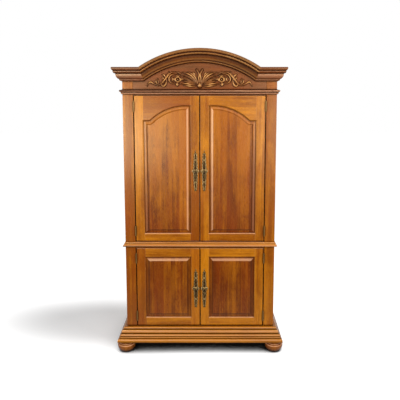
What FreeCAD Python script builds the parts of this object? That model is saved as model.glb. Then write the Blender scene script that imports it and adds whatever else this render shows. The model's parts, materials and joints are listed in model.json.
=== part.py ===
import FreeCAD, Part

import math
import os

from FreeCAD import Vector

# Television armoire: a tall case on bun feet with an arched crown over a carved frieze, a pair of tall
# doors with arched raised panels over the television bay, and a pair of short doors over the lower bay.
#
# Millimetres, +Z up. The doors face -Y and +X is to the right of someone facing them. The origin is on the
# floor under the middle of the bounding box. The right half is modelled and the left half is its mirror.

# ---------------------------------------------------------------- the case
body_width = 1080.0  # across the outsides of the two side panels
body_depth = 570.0  # from the faces of the doors to the back
side_thickness = 19.0
board_thickness = 19.0  # top, bottom and shelf
deck_thickness = 22.0  # the fixed board that carries the television
frame_thickness = 22.0  # face frame and doors
back_thickness = 6.0
face_stile_width = 74.5
stile_easing = 3.0  # rounding of the face frame's inner edge

# ---------------------------------------------------------------- heights, from the floor up
foot_height = 76.0
base_height = 101.0
lower_door_height = 587.0
waist_rail_height = 47.5
upper_door_height = 1043.0
frieze_height = 95.5  # from the top of the door opening to the crown
case_top_drop = 12.0  # the case ends this far below the crown's top edge

# ---------------------------------------------------------------- working values
same_place = 1e-6  # lengths closer than this are equal
overcut = 1.0  # how far a cutter runs past the face that it opens
quarter_turn = math.pi / 2
full_turn = 360.0  # degrees

# ---------------------------------------------------------------- the crown's arch
arch_rise = 127.0  # of the crown's top edge above its straight ends
arch_half_width = 417.0  # from the middle to the mitre, along the crown's top edge

# ---------------------------------------------------------------- mouldings
# Each profile runs from the top at the wall, out and down, and back to the wall at the bottom.
# A step is (projection, height above the moulding's foot) for a flat face. A third value is the depth
# of a curved face's bow, outwards if it is positive and hollow if it is negative.
crown_profile = [
    (0.0, 92.0),
    (57.5, 92.0),
    (63.0, 84.0, 2.2),  # rounded upper edge
    (57.0, 71.0, 1.6),  # ovolo
    (53.5, 69.5),
    (53.5, 66.0),
    (47.5, 51.5, 1.6),  # small ovolo
    (38.5, 49.5),  # soffit
    (38.5, 45.0),
    (24.0, 15.5, 3.4),  # broad ovolo
    (18.5, 14.5),
    (17.0, 11.0),
    (10.0, 2.5, 2.0),  # bead at the foot
    (4.0, 0.0),
    (0.0, 0.0),
]
necking_profile = [
    (0.0, 35.0),
    (15.5, 30.5, -0.8),
    (15.5, 17.0, 4.0),  # nose
    (9.5, 14.5),
    (9.5, 11.5),
    (4.0, 1.5, 2.0),
    (0.0, 0.0),
]
waist_profile = [
    (0.0, 32.0),
    (3.5, 32.0),
    (5.5, 24.0, 1.4),
    (5.5, 22.0),
    (15.0, 11.5, -1.8),  # hollow
    (15.0, 3.5, 3.0),  # nose
    (10.0, 0.0),
    (0.0, 0.0),
]
base_profile = [
    (0.0, 101.0),
    (18.0, 101.0),
    (21.0, 88.0, 3.4),  # top bead
    (22.5, 86.5),
    (35.0, 67.0, 3.8),
    (35.5, 64.0),
    (33.0, 62.0),
    (34.5, 60.5),
    (45.5, 45.0, 3.4),
    (45.5, 42.5),
    (42.5, 41.0),
    (48.5, 31.0, 2.8),
    (48.5, 29.0),
    (62.0, 12.0, 4.0),
    (63.0, 5.0),
    (60.0, 0.0),
    (0.0, 0.0),
]
necking_lift = 4.5  # the necking's foot above the door opening
waist_lift = 10.0  # the waist moulding's foot above the lower door opening
mitre_reach = 200.0  # longer than any moulding projects

# ---------------------------------------------------------------- bun feet
# Radius and height of each step of the turning, with a curved face's bow as above.
foot_profile = [
    (50.0, 76.0),
    (50.0, 62.0),
    (53.0, 58.0),
    (61.0, 56.0, 0.4),
    (66.0, 46.0, 1.2),
    (44.0, 0.0, 5.6),
]
foot_proud = 8.0  # how far the feet stand out past the base moulding
corner_block_size = 60.0
corner_block_height = 40.0

# ---------------------------------------------------------------- doors
hinge_gap = 4.0  # between a door and the face frame, at the hinges
meeting_gap = 4.0  # between the two doors of a pair
door_gap = 3.5  # above and below a door
door_easing = 3.0  # rounding of a door's front edges
stile_face = 58.0  # flat width of a door stile, without the moulded inner edge
upper_bottom_rail_face = 51.0
lower_top_rail_face = 62.0
lower_bottom_rail_face = 56.0
arch_rail_face_at_crest = 65.0
arch_rail_face_at_shoulder = 170.0
shoulder_length = 50.0  # level length of the arched panel's outer shoulder
crest_inset = 38.0  # from the meeting stile's face to the arch's highest point
cusp_radius = 1.5  # where the shoulder meets the arch
sticking_width = 7.0  # moulded inner edge of a door frame
sticking_depth = 7.0
sticking_quirk = 1.0  # small drop from the flat face to the moulded edge
sticking_facets = 5
panel_tongue = 6.0  # how far a panel enters the groove
panel_tongue_thickness = 6.0
groove_clearance = 0.2
bevel_width = 28.0
bevel_facets = 5
bevel_step = 0.8  # drop at the edge of the raised field
field_setback = 1.0  # the field lies this far behind the door's face
bevel_drop = 5.8  # how much the hollow bevel falls from the field to the frame

# ---------------------------------------------------------------- butt hinges, two to a door
hinge_length = 64.0
hinge_inset = 75.0  # from the end of the door to the middle of a hinge
hinge_proud = 5.0  # the pin's axis stands this far in front of the doors
knuckle_radius = 4.2
knuckle_count = 5
knuckle_gap = 0.3
hinge_pin_radius = 2.2
pin_clearance = 0.05
leaf_gap = 0.3  # between the two leaves of a closed hinge
leaf_reach = 18.0  # how far a leaf reaches behind the doors' faces
leaf_clearance = 0.4  # between a leaf and the other leaf's knuckles
hinge_tip_radius = 4.0
hinge_tip_lift = 2.8  # from the barrel's end to the middle of its ball tip

# ---------------------------------------------------------------- magnetic catches
catch_width = 46.0
catch_offset = 50.0  # middle of a catch from the meeting line
catch_depth = 14.0
catch_overlap = 18.0  # how far a catch reaches down behind the door
catch_flange = 20.0  # how far it reaches up behind the rail
strike_thickness = 1.2
strike_width = 34.0
strike_height = 12.0
strike_clearance = 0.4

# ---------------------------------------------------------------- drop pulls
pull_length = 300.0
pull_width = 22.0
pull_thickness = 3.0
pull_below_middle = 11.0  # below the middle of the door's height
plate_lobes = [(0.0, 14.0), (34.0, 10.0), (72.0, 9.0), (112.0, 7.0), (141.0, 5.5)]  # height, radius
wing_offset = 16.5
wing_radius = 8.0
rosette_radius = 11.0
rosette_height = 2.5
post_radius = 4.0
post_reach = 10.0  # from the plate's face to the pendant's pin
post_ball_radius = 6.5
pendant_pin_radius = 1.5
pendant_clearance = 0.06
ear_gap = 0.4  # between the ball and the pendant's ears
ear_thickness = 2.0
ear_radius = 3.4
bridge_drop = 7.4  # from the pin to the pendant's bridge
bridge_thickness = 4.0
# Radius and distance below the pin of each step of the pendant's drop.
drop_profile = [
    (4.5, 9.0),
    (3.0, 17.0, -0.8),
    (7.0, 38.0, 1.2),
    (5.0, 50.0, 1.2),
    (2.6, 53.0),
    (3.6, 57.0, 1.0),
    (0.8, 60.0, 1.0),
]
screw_radius = 1.6
screw_head_radius = 3.4
screw_head_height = 1.6
screw_reach = 14.0  # into the stile
screw_offset = 126.0  # of each screw from the plate's middle

# ---------------------------------------------------------------- inside
shelf_side_gap = 0.6
shelf_setback = 40.0  # behind the back of the doors
shelf_back_gap = 0.8
shelf_pin_radius = 2.5
shelf_pin_depth = 9.0  # in the side panel
shelf_pin_reach = 10.0  # under the shelf
pin_hole_clearance = 0.05
pin_hole_spacing = 32.0
pin_hole_rows = 9
first_pin_row = 150.0  # above the bottom board
shelf_row = 4  # the row that holds the shelf now, counted from 0
pin_inset = 60.0  # of each pin from the shelf's front or back edge
vent_bar = 60.0  # left between the two vents of a back
upper_vent_width = 180.0
upper_vent_height = 200.0
upper_vent_lift = 70.0  # above the television deck
lower_vent_width = 110.0
lower_vent_height = 90.0
lower_vent_lift = 60.0  # above the bottom board
vent_corner_radius = 12.0
deck_notch_width = 200.0
deck_notch_depth = 40.0

# ---------------------------------------------------------------- carving on the frieze
carving_depth = 7.0
carving_root = 29.0  # height of the central boss above the necking
boss_radius = 20.0
boss_height = 10.0
# Leaves of the right half: distance from the middle and height above the necking of the leaf's root,
# its length, its width and its direction in degrees above the horizontal.
leaves = [
    (4.0, 40.0, 92.0, 14.0, 84.0),
    (10.0, 40.0, 98.0, 15.0, 64.0),
    (12.0, 38.0, 104.0, 16.0, 47.0),
    (14.0, 34.0, 100.0, 16.0, 31.0),
    (16.0, 28.0, 104.0, 18.0, 12.0),
    (196.0, 60.0, 78.0, 22.0, 40.0),
    (190.0, 20.0, 62.0, 16.0, 16.0),
    (236.0, 30.0, 66.0, 14.0, 20.0),
    (238.0, 44.0, 40.0, 14.0, 62.0),
    (296.0, 46.0, 46.0, 12.0, -22.0),
    (320.0, 30.0, 48.0, 13.0, 6.0),
]
# Rings of the right half: distance from the middle, height above the necking, radius and band width.
scrolls = [
    (150.0, 70.0, 38.0, 17.0),
    (190.0, 70.0, 29.0, 9.0),
    (270.0, 36.0, 30.0, 9.0),
    (282.0, 72.0, 12.0, 7.0),
]

# ---------------------------------------------------------------- places that follow from the sizes
half_width = body_width / 2
inner_half = half_width - side_thickness
opening_half = half_width - face_stile_width
door_outer = opening_half - hinge_gap
door_inner = meeting_gap / 2

crown_height = crown_profile[0][1]
crown_projection = max(step[0] for step in crown_profile)
necking_height = necking_profile[0][1]
base_projection = max(step[0] for step in base_profile)
foot_radius = max(step[0] for step in foot_profile)

reach = max(crown_projection, base_projection + foot_proud)
front_y = reach - (body_depth + reach) / 2
back_y = front_y + body_depth
inside_front_y = front_y + frame_thickness
inside_back_y = back_y - back_thickness

base_top = foot_height + base_height
lower_door_bottom = base_top + door_gap
lower_door_top = lower_door_bottom + lower_door_height
waist_rail_bottom = lower_door_top + door_gap
waist_rail_top = waist_rail_bottom + waist_rail_height
upper_door_bottom = waist_rail_top + door_gap
upper_door_top = upper_door_bottom + upper_door_height
frieze_bottom = upper_door_top + door_gap
crown_bottom = frieze_bottom + frieze_height
crown_top = crown_bottom + crown_height
case_top = crown_top - case_top_drop
necking_bottom = frieze_bottom + necking_lift
necking_top = necking_bottom + necking_height
waist_moulding_bottom = waist_rail_bottom + waist_lift
deck_bottom = waist_rail_top - deck_thickness
deck_middle = waist_rail_top - deck_thickness / 2

arch_radius = (arch_half_width**2 + arch_rise**2) / (2 * arch_rise)
arch_centre_z = crown_top + arch_rise - arch_radius
arch_foot_radius = arch_radius - crown_height
arch_foot_half_width = math.sqrt(arch_foot_radius**2 - (crown_bottom - arch_centre_z) ** 2)

hinge_x = door_outer + hinge_gap / 2
hinge_y = front_y - hinge_proud
pull_x = door_inner + stile_face / 2
shelf_pin_z = base_top + first_pin_row + shelf_row * pin_hole_spacing
shelf_bottom = shelf_pin_z + shelf_pin_radius
shelf_front_y = inside_front_y + shelf_setback
shelf_back_y = inside_back_y - shelf_back_gap


# ---------------------------------------------------------------- helpers
def box(x0, x1, y0, y1, z0, z1):
    return Part.makeBox(x1 - x0, y1 - y0, z1 - z0, Vector(x0, y0, z0))


def mirrored(shape):
    return shape.mirror(Vector(0, 0, 0), Vector(1, 0, 0))


def both_sides(shape):
    return Part.makeCompound([shape, mirrored(shape)])


def profile_face(profile, place):
    """Closed face from a profile's steps; place turns a step's two coordinates into a point in space."""
    edges = []
    previous = profile[0]
    for step in profile[1:]:
        start, end = place(previous[0], previous[1]), place(step[0], step[1])
        if len(step) == 3:
            run, rise = step[0] - previous[0], step[1] - previous[1]
            length = math.hypot(run, rise)
            middle_a = (previous[0] + step[0]) / 2 - step[2] * rise / length
            middle_b = (previous[1] + step[1]) / 2 + step[2] * run / length
            edges.append(Part.Arc(start, place(middle_a, middle_b), end).toShape())
        else:
            edges.append(Part.makeLine(start, end))
        previous = step
    first = place(profile[0][0], profile[0][1])
    last = place(previous[0], previous[1])
    if not first.isEqual(last, same_place):
        edges.append(Part.makeLine(last, first))
    return Part.Face(Part.Wire(edges))


def prism(points, direction):
    return Part.Face(Part.makePolygon(points + [points[0]])).extrude(direction)


def turned(profile, x, y, z):
    """Solid turned about a vertical axis through x, y from a profile of (radius, height) steps."""
    closed = [(0.0, profile[0][1])] + list(profile)
    if profile[-1][0] > 0:
        closed.append((0.0, profile[-1][1]))
    face = profile_face(closed, lambda radius, height: Vector(x + radius, y, z + height))
    return face.revolve(Vector(x, y, z), Vector(0, 0, 1), full_turn)


def ease_edges(shape, radius, keep):
    """Rounds the edges whose two end points both pass keep()."""
    edges = [edge for edge in shape.Edges if all(keep(vertex.Point) for vertex in edge.Vertexes)]
    return shape.makeFillet(radius, edges)


def rounded_slot(width, height, depth, x, y, z, radius):
    """Upright cutter with rounded corners, through the back along +Y, centred on x and z."""
    cutter = box(x - width / 2, x + width / 2, y, y + depth, z - height / 2, z + height / 2)
    corners = [edge for edge in cutter.Edges if edge.BoundBox.YLength > depth / 2]
    return cutter.makeFillet(radius, corners)


# ---------------------------------------------------------------- mouldings round the case
def front_moulding(profile, foot_z):
    """Runs across the front and is mitred at both corners."""
    start_x = -half_width - mitre_reach
    face = profile_face(profile, lambda out, up: Vector(start_x, front_y - out, foot_z + up))
    bar = face.extrude(Vector(-2 * start_x, 0, 0))
    corners = [
        Vector(-half_width, front_y, foot_z),
        Vector(-half_width - mitre_reach, front_y - mitre_reach, foot_z),
        Vector(half_width + mitre_reach, front_y - mitre_reach, foot_z),
        Vector(half_width, front_y, foot_z),
    ]
    return bar.common(prism(corners, Vector(0, 0, profile[0][1])))


def return_moulding(profile, foot_z):
    """Runs along the right side, from its mitre at the front corner to the back."""
    start_y = front_y - mitre_reach
    face = profile_face(profile, lambda out, up: Vector(half_width + out, start_y, foot_z + up))
    bar = face.extrude(Vector(0, back_y - start_y, 0))
    corners = [
        Vector(half_width, front_y, foot_z),
        Vector(half_width + mitre_reach, front_y - mitre_reach, foot_z),
        Vector(half_width + mitre_reach, back_y, foot_z),
        Vector(half_width, back_y, foot_z),
    ]
    return bar.common(prism(corners, Vector(0, 0, profile[0][1])))


def crown_mitre_points(y):
    """The mitre between the crown's right end and its arch, from foot to top, drawn out past both."""
    foot = Vector(arch_foot_half_width, y, crown_bottom)
    top = Vector(arch_half_width, y, crown_top)
    along = top - foot
    return foot - along, top + along


def crown_arch():
    section = profile_face(
        crown_profile, lambda out, up: Vector(0, front_y - out, arch_centre_z + arch_foot_radius + up)
    )
    ring = section.revolve(Vector(0, 0, arch_centre_z), Vector(0, 1, 0), full_turn)
    y = front_y - mitre_reach
    foot, top = crown_mitre_points(y)
    sky = arch_centre_z + arch_radius + mitre_reach
    corners = [
        Vector(-foot.x, y, foot.z),
        foot,
        top,
        Vector(top.x, y, sky),
        Vector(-top.x, y, sky),
        Vector(-top.x, y, top.z),
    ]
    return ring.common(prism(corners, Vector(0, 2 * mitre_reach, 0)))


def crown_end():
    """Straight right end of the crown and its return along the side, mitred to each other."""
    y = front_y - mitre_reach
    foot, top = crown_mitre_points(y)
    far = half_width + mitre_reach
    corners = [foot, top, Vector(far, y, top.z), Vector(far, y, foot.z)]
    end = front_moulding(crown_profile, crown_bottom).common(prism(corners, Vector(0, 2 * mitre_reach, 0)))
    return Part.makeCompound([end, return_moulding(crown_profile, crown_bottom)])


def wrapped_moulding(profile, foot_z):
    side = return_moulding(profile, foot_z)
    return Part.makeCompound([front_moulding(profile, foot_z), side, mirrored(side)])


# ---------------------------------------------------------------- the case's boards
def side_panel():
    board = box(inner_half, half_width, inside_front_y, back_y, foot_height, case_top)
    for row in range(pin_hole_rows):
        for y in (shelf_front_y + pin_inset, shelf_back_y - pin_inset):
            z = base_top + first_pin_row + row * pin_hole_spacing
            mouth = Vector(inner_half, y, z)
            radius = shelf_pin_radius + pin_hole_clearance
            board = board.cut(Part.makeCylinder(radius, shelf_pin_depth, mouth, Vector(1, 0, 0)))
    return board


def face_stile():
    board = box(opening_half, half_width, front_y, inside_front_y, foot_height, case_top)

    def at_front_corner(point):
        return abs(point.x - opening_half) < same_place and abs(point.y - front_y) < same_place

    return ease_edges(board, stile_easing, at_front_corner)


def frieze_board():
    """Board between the stiles with an arched top, which backs the crown."""
    backing_radius = arch_radius - case_top_drop
    half = math.sqrt(backing_radius**2 - (case_top - arch_centre_z) ** 2)
    left, right = Vector(-half, front_y, case_top), Vector(half, front_y, case_top)
    crest = Vector(0, front_y, arch_centre_z + backing_radius)
    rest = Part.makePolygon(
        [
            right,
            Vector(opening_half, front_y, case_top),
            Vector(opening_half, front_y, frieze_bottom),
            Vector(-opening_half, front_y, frieze_bottom),
            Vector(-opening_half, front_y, case_top),
            left,
        ]
    )
    outline = Part.Wire([Part.Arc(left, crest, right).toShape()] + rest.Edges)
    return Part.Face(outline).extrude(Vector(0, frame_thickness, 0))


def frame_rail(z0, z1):
    return box(-opening_half, opening_half, front_y, inside_front_y, z0, z1)


def case_board(z0, z1):
    return box(-inner_half, inner_half, inside_front_y, inside_back_y, z0, z1)


def tv_deck():
    board = case_board(deck_bottom, waist_rail_top)
    notch = box(
        -deck_notch_width / 2,
        deck_notch_width / 2,
        inside_back_y - deck_notch_depth,
        inside_back_y,
        deck_bottom,
        waist_rail_top,
    )
    return board.cut(notch)


def back_panel(z0, z1, width, height, middle_z):
    board = box(-inner_half, inner_half, inside_back_y, back_y, z0, z1)
    vent_x = (vent_bar + width) / 2
    vent = rounded_slot(
        width, height, back_thickness, vent_x, inside_back_y, middle_z, vent_corner_radius
    )
    return board.cut(vent).cut(mirrored(vent))


def lower_shelf():
    half = inner_half - shelf_side_gap
    board = box(-half, half, shelf_front_y, shelf_back_y, shelf_bottom, shelf_bottom + board_thickness)
    return ease_edges(board, stile_easing, lambda point: abs(point.y - shelf_front_y) < same_place)


def shelf_pins():
    pins = []
    for y in (shelf_front_y + pin_inset, shelf_back_y - pin_inset):
        start = Vector(inner_half - shelf_pin_reach, y, shelf_pin_z)
        length = shelf_pin_reach + shelf_pin_depth
        pin = Part.makeCylinder(shelf_pin_radius, length, start, Vector(1, 0, 0))
        pins += [pin, mirrored(pin)]
    return Part.makeCompound(pins)


def corner_blocks():
    blocks = []
    x0 = inner_half - corner_block_size
    z1 = foot_height + corner_block_height
    for y0 in (inside_front_y, inside_back_y - corner_block_size):
        block = box(x0, inner_half, y0, y0 + corner_block_size, foot_height, z1)
        blocks += [block, mirrored(block)]
    return Part.makeCompound(blocks)


def foot(at_front):
    inset = foot_radius - foot_proud - base_projection
    x = half_width - inset
    y = front_y + inset if at_front else back_y - foot_radius
    return turned(foot_profile, x, y, 0)


# ---------------------------------------------------------------- doors, modelled on the right
class DoorPlan:
    """Sizes of one right-hand door."""

    def __init__(self, bottom, height, bottom_face, top_face, shoulder_face=None):
        self.bottom = bottom
        self.top = bottom + height
        self.face_left = door_inner + stile_face
        self.face_right = door_outer - stile_face
        self.face_bottom = bottom + bottom_face
        self.face_top = self.top - top_face
        self.arched = shoulder_face is not None
        if self.arched:
            self.shoulder = self.top - shoulder_face


def opening_wire(plan, inset, y):
    """Outline of a door's opening at the depth y, drawn in by inset from the edge of the flat frame."""
    left, right = plan.face_left + inset, plan.face_right - inset
    bottom = plan.face_bottom + inset
    if not plan.arched:
        top = plan.face_top - inset
        corners = ((left, bottom), (right, bottom), (right, top), (left, top), (left, bottom))
        return Part.makePolygon([Vector(x, y, z) for x, z in corners])
    cusp = Vector(plan.face_right - shoulder_length, y, plan.shoulder + cusp_radius)
    crest = Vector(plan.face_left + crest_inset, y, plan.face_top + cusp_radius)
    rise, run = crest.z - cusp.z, cusp.x - crest.x
    radius = (rise**2 + run**2) / (2 * rise)
    centre = Vector(crest.x, y, crest.z - radius)
    rounding = cusp_radius + inset
    arc_radius = radius - rounding
    inwards = centre - cusp
    inwards.normalize()
    join_start = cusp - Vector(0, 0, rounding)
    join_end = cusp + inwards * rounding
    half_turn = (inwards + Vector(0, 0, -1)).normalize()
    join_middle = cusp + half_turn * rounding
    arc_end = Vector(left, y, centre.z + math.sqrt(arc_radius**2 - (left - centre.x) ** 2))
    middle_direction = ((join_end - centre).normalize() + (arc_end - centre).normalize()).normalize()
    arc_middle = centre + middle_direction * arc_radius
    shoulder_corner = Vector(right, y, join_start.z)
    corners = [arc_end, Vector(left, y, bottom), Vector(right, y, bottom), shoulder_corner, join_start]
    edges = [Part.makeLine(a, b) for a, b in zip(corners, corners[1:])]
    edges.append(Part.Arc(join_start, join_middle, join_end).toShape())
    edges.append(Part.Arc(join_end, arc_middle, arc_end).toShape())
    return Part.Wire(edges)


def opening_prism(plan, inset, y0, y1):
    return Part.Face(opening_wire(plan, inset, y0)).extrude(Vector(0, y1 - y0, 0))


def sticking_cutter(plan):
    """Removes the frame's inside and leaves a rounded moulding on its front inner edge."""
    rings = [(0.0, -overcut), (0.0, sticking_quirk)]
    bow = sticking_depth - sticking_quirk
    for step in range(1, sticking_facets + 1):
        turn = quarter_turn * step / sticking_facets
        rings.append((sticking_width * math.sin(turn), sticking_quirk + bow * (1 - math.cos(turn))))
    wires = [opening_wire(plan, inset, front_y + depth) for inset, depth in rings]
    mouth = Part.makeLoft(wires, True, True)
    back = opening_prism(plan, sticking_width, front_y + sticking_depth, inside_front_y + overcut)
    return mouth.fuse(back)


def panel(plan):
    """Raised panel: a field, a hollow bevel round it and a tongue in the frame's groove."""
    tongue_front = front_y + field_setback + bevel_step + bevel_drop
    field_edge = sticking_width + bevel_width
    rings = []
    for facet in range(bevel_facets + 1):
        share = facet / bevel_facets
        rings.append((sticking_width + bevel_width * share, tongue_front - bevel_drop * share**2))
    rings.append((field_edge, tongue_front - bevel_drop - bevel_step))
    wires = [opening_wire(plan, inset, y) for inset, y in rings]
    raised = Part.makeLoft(wires, True, True)
    tongue = opening_prism(
        plan, sticking_width - panel_tongue, tongue_front, tongue_front + panel_tongue_thickness
    )
    return raised.fuse(tongue).removeSplitter()


def groove(plan):
    tongue_front = front_y + field_setback + bevel_step + bevel_drop
    return opening_prism(
        plan,
        sticking_width - panel_tongue - groove_clearance,
        tongue_front - groove_clearance,
        tongue_front + panel_tongue_thickness + groove_clearance,
    )


def screw_places(plan):
    middle = (plan.bottom + plan.top) / 2 - pull_below_middle
    return [middle - screw_offset, middle + screw_offset]


def door_frame(plan):
    """Two stiles at full height with the rails between them."""
    slab = box(door_inner, door_outer, front_y, inside_front_y, plan.bottom, plan.top)
    slab = ease_edges(slab, door_easing, lambda point: abs(point.y - front_y) < same_place)
    slab = slab.cut(sticking_cutter(plan)).cut(groove(plan))
    for z in screw_places(plan):
        mouth = Vector(pull_x, front_y, z)
        slab = slab.cut(Part.makeCylinder(screw_radius, screw_reach, mouth, Vector(0, 1, 0)))
    x0, x1 = plan.face_left + sticking_width, plan.face_right - sticking_width
    middle_z = (plan.face_bottom + plan.face_top) / 2

    def part_of(left, right, low, high):
        return slab.common(box(left, right, front_y, inside_front_y, low, high))

    return {
        "meeting_stile": part_of(door_inner, x0, plan.bottom, plan.top),
        "hinge_stile": part_of(x1, door_outer, plan.bottom, plan.top),
        "top_rail": part_of(x0, x1, middle_z, plan.top),
        "bottom_rail": part_of(x0, x1, plan.bottom, middle_z),
    }


# ---------------------------------------------------------------- hinges, catches and pulls
def hinge_heights(plan):
    return [plan.bottom + hinge_inset, plan.top - hinge_inset]


def hinge_half(z, outwards, segments):
    """One leaf of a hinge with its knuckles: outwards is 1 for the frame's leaf and -1 for the door's."""
    near, far = sorted((hinge_x + outwards * leaf_gap / 2, hinge_x + outwards * hinge_gap / 2))
    z0 = z - hinge_length / 2
    plate_front = hinge_y + knuckle_radius + leaf_clearance
    leaf = box(near, far, plate_front, front_y + leaf_reach, z0, z0 + hinge_length)
    pitch = hinge_length / knuckle_count
    for segment in segments:
        low = z0 + segment * pitch + knuckle_gap / 2
        high = low + pitch - knuckle_gap
        tab = box(near, far, hinge_y, plate_front, low, high)
        knuckle = Part.makeCylinder(knuckle_radius, high - low, Vector(hinge_x, hinge_y, low))
        leaf = leaf.fuse([tab, knuckle])
    return leaf


def frame_leaf(z):
    """The leaf on the face frame, which carries the pin and its ball tips."""
    z0 = z - hinge_length / 2
    pin = Part.makeCylinder(hinge_pin_radius, hinge_length, Vector(hinge_x, hinge_y, z0))
    tip_heights = (z0 - hinge_tip_lift, z0 + hinge_length + hinge_tip_lift)
    tips = [Part.makeSphere(hinge_tip_radius, Vector(hinge_x, hinge_y, height)) for height in tip_heights]
    return hinge_half(z, 1, range(0, knuckle_count, 2)).fuse([pin] + tips)


def door_leaf(z):
    bore = Part.makeCylinder(
        hinge_pin_radius + pin_clearance, 2 * hinge_length, Vector(hinge_x, hinge_y, z - hinge_length)
    )
    return hinge_half(z, -1, range(1, knuckle_count, 2)).cut(bore)


def catch(rail_bottom):
    """Magnetic catch on the back of the rail above a door, reaching down behind the door."""
    x0 = catch_offset - catch_width / 2
    x1 = x0 + catch_width
    y1 = inside_front_y + catch_depth
    flange = box(x0, x1, inside_front_y, y1, rail_bottom, rail_bottom + catch_flange)
    magnet_y = inside_front_y + strike_thickness + strike_clearance
    return flange.fuse(box(x0, x1, magnet_y, y1, rail_bottom - catch_overlap, rail_bottom)).removeSplitter()


def strike(plan):
    x0 = catch_offset - strike_width / 2
    z1 = plan.top - door_easing
    y1 = inside_front_y + strike_thickness
    return box(x0, x0 + strike_width, inside_front_y, y1, z1 - strike_height, z1)


def screws(plan):
    plate_face = front_y - pull_thickness
    pieces = []
    for z in screw_places(plan):
        base = Vector(pull_x, plate_face - screw_head_height, z)
        head = Part.makeCylinder(screw_head_radius, screw_head_height, base, Vector(0, 1, 0))
        shank_length = screw_head_height + pull_thickness + screw_reach
        shank = Part.makeCylinder(screw_radius, shank_length, base, Vector(0, 1, 0))
        pieces.append(head.fuse(shank))
    return pieces


def door_hardware(plan):
    leaves_on_door = [door_leaf(z) for z in hinge_heights(plan)]
    return Part.makeCompound(leaves_on_door + [strike(plan)] + screws(plan))


def disc(radius, depth, x, y, z):
    return Part.makeCylinder(radius, depth, Vector(x, y - depth, z), Vector(0, 1, 0))


def pointed_leaf(length, width, depth, x, y, z, degrees):
    """Flat leaf with two curved sides, which starts at x, z and points degrees above the horizontal."""
    root, tip = Vector(0, 0, 0), Vector(length, 0, 0)
    upper = Part.Arc(root, Vector(length / 2, 0, width / 2), tip).toShape()
    lower = Part.Arc(tip, Vector(length / 2, 0, -width / 2), root).toShape()
    shape = Part.Face(Part.Wire([upper, lower])).extrude(Vector(0, -depth, 0))
    shape.rotate(Vector(0, 0, 0), Vector(0, -1, 0), degrees)
    shape.translate(Vector(x, y, z))
    return shape


def pull_plate(plan):
    """Long backplate with a rosette, and a ball on a short post that carries the pendant's pin."""
    z = (plan.bottom + plan.top) / 2 - pull_below_middle
    plate = pointed_leaf(pull_length, pull_width, pull_thickness, pull_x, front_y, z - pull_length / 2, 90)
    lobes = []
    for height, radius in plate_lobes:
        for way in (-1, 1):
            lobes.append(disc(radius, pull_thickness, pull_x, front_y, z + way * height))
    for way in (-1, 1):
        lobes.append(disc(wing_radius, pull_thickness, pull_x + way * wing_offset, front_y, z))
    plate = plate.fuse(lobes)
    for screw_z in screw_places(plan):
        hole = disc(screw_radius + pin_clearance, pull_thickness, pull_x, front_y, screw_z)
        plate = plate.cut(hole)
    face_y = front_y - pull_thickness
    pin_y = face_y - post_reach
    pin_half = post_ball_radius + ear_gap + ear_thickness + ear_gap
    rosette = disc(rosette_radius, rosette_height, pull_x, face_y, z)
    post = disc(post_radius, post_reach, pull_x, face_y, z)
    ball = Part.makeSphere(post_ball_radius, Vector(pull_x, pin_y, z))
    pin = Part.makeCylinder(
        pendant_pin_radius, 2 * pin_half, Vector(pull_x - pin_half, pin_y, z), Vector(1, 0, 0)
    )
    return plate.fuse([rosette, post, ball, pin]).removeSplitter()


def pendant(plan):
    """Drop that hangs from the pin by two ears, one each side of the ball."""
    z = (plan.bottom + plan.top) / 2 - pull_below_middle
    pin_y = front_y - pull_thickness - post_reach
    inner = post_ball_radius + ear_gap
    outer = inner + ear_thickness
    bridge = box(
        pull_x - outer,
        pull_x + outer,
        pin_y - ear_radius,
        pin_y + ear_radius,
        z - bridge_drop - bridge_thickness,
        z - bridge_drop,
    )
    root_z = z - bridge_drop - bridge_thickness / 2
    ears = []
    for way in (-1, 1):
        x0 = pull_x + (inner if way > 0 else -outer)
        front, back = Vector(x0, pin_y - ear_radius, z), Vector(x0, pin_y + ear_radius, z)
        crown = Part.Arc(front, Vector(x0, pin_y, z + ear_radius), back).toShape()
        sides = Part.makePolygon([back, Vector(x0, back.y, root_z), Vector(x0, front.y, root_z), front])
        ears.append(Part.Face(Part.Wire([crown] + sides.Edges)).extrude(Vector(ear_thickness, 0, 0)))
    steps = [(step[0], -step[1]) + tuple(step[2:]) for step in drop_profile]
    drop = turned(steps, pull_x, pin_y, z)
    hole_start = Vector(pull_x - outer - overcut, pin_y, z)
    hole_length = 2 * (outer + overcut)
    hole = Part.makeCylinder(pendant_pin_radius + pendant_clearance, hole_length, hole_start, Vector(1, 0, 0))
    return bridge.fuse(ears + [drop]).cut(hole)


# ---------------------------------------------------------------- carving
def carving():
    """Leaves and scrolls, mirrored about a central boss, glued to the frieze as one carving."""
    half = []
    for x, up, length, width, degrees in leaves:
        z = necking_top + up
        half.append(pointed_leaf(length, width, carving_depth, x, front_y, z, degrees))
    for x, up, radius, band in scrolls:
        z = necking_top + up
        ring = disc(radius, carving_depth, x, front_y, z)
        half.append(ring.cut(disc(radius - band, carving_depth, x, front_y, z)))
    boss = disc(boss_radius, boss_height, 0, front_y, necking_top + carving_root)
    return boss.fuse(half + [mirrored(piece) for piece in half])


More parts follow.
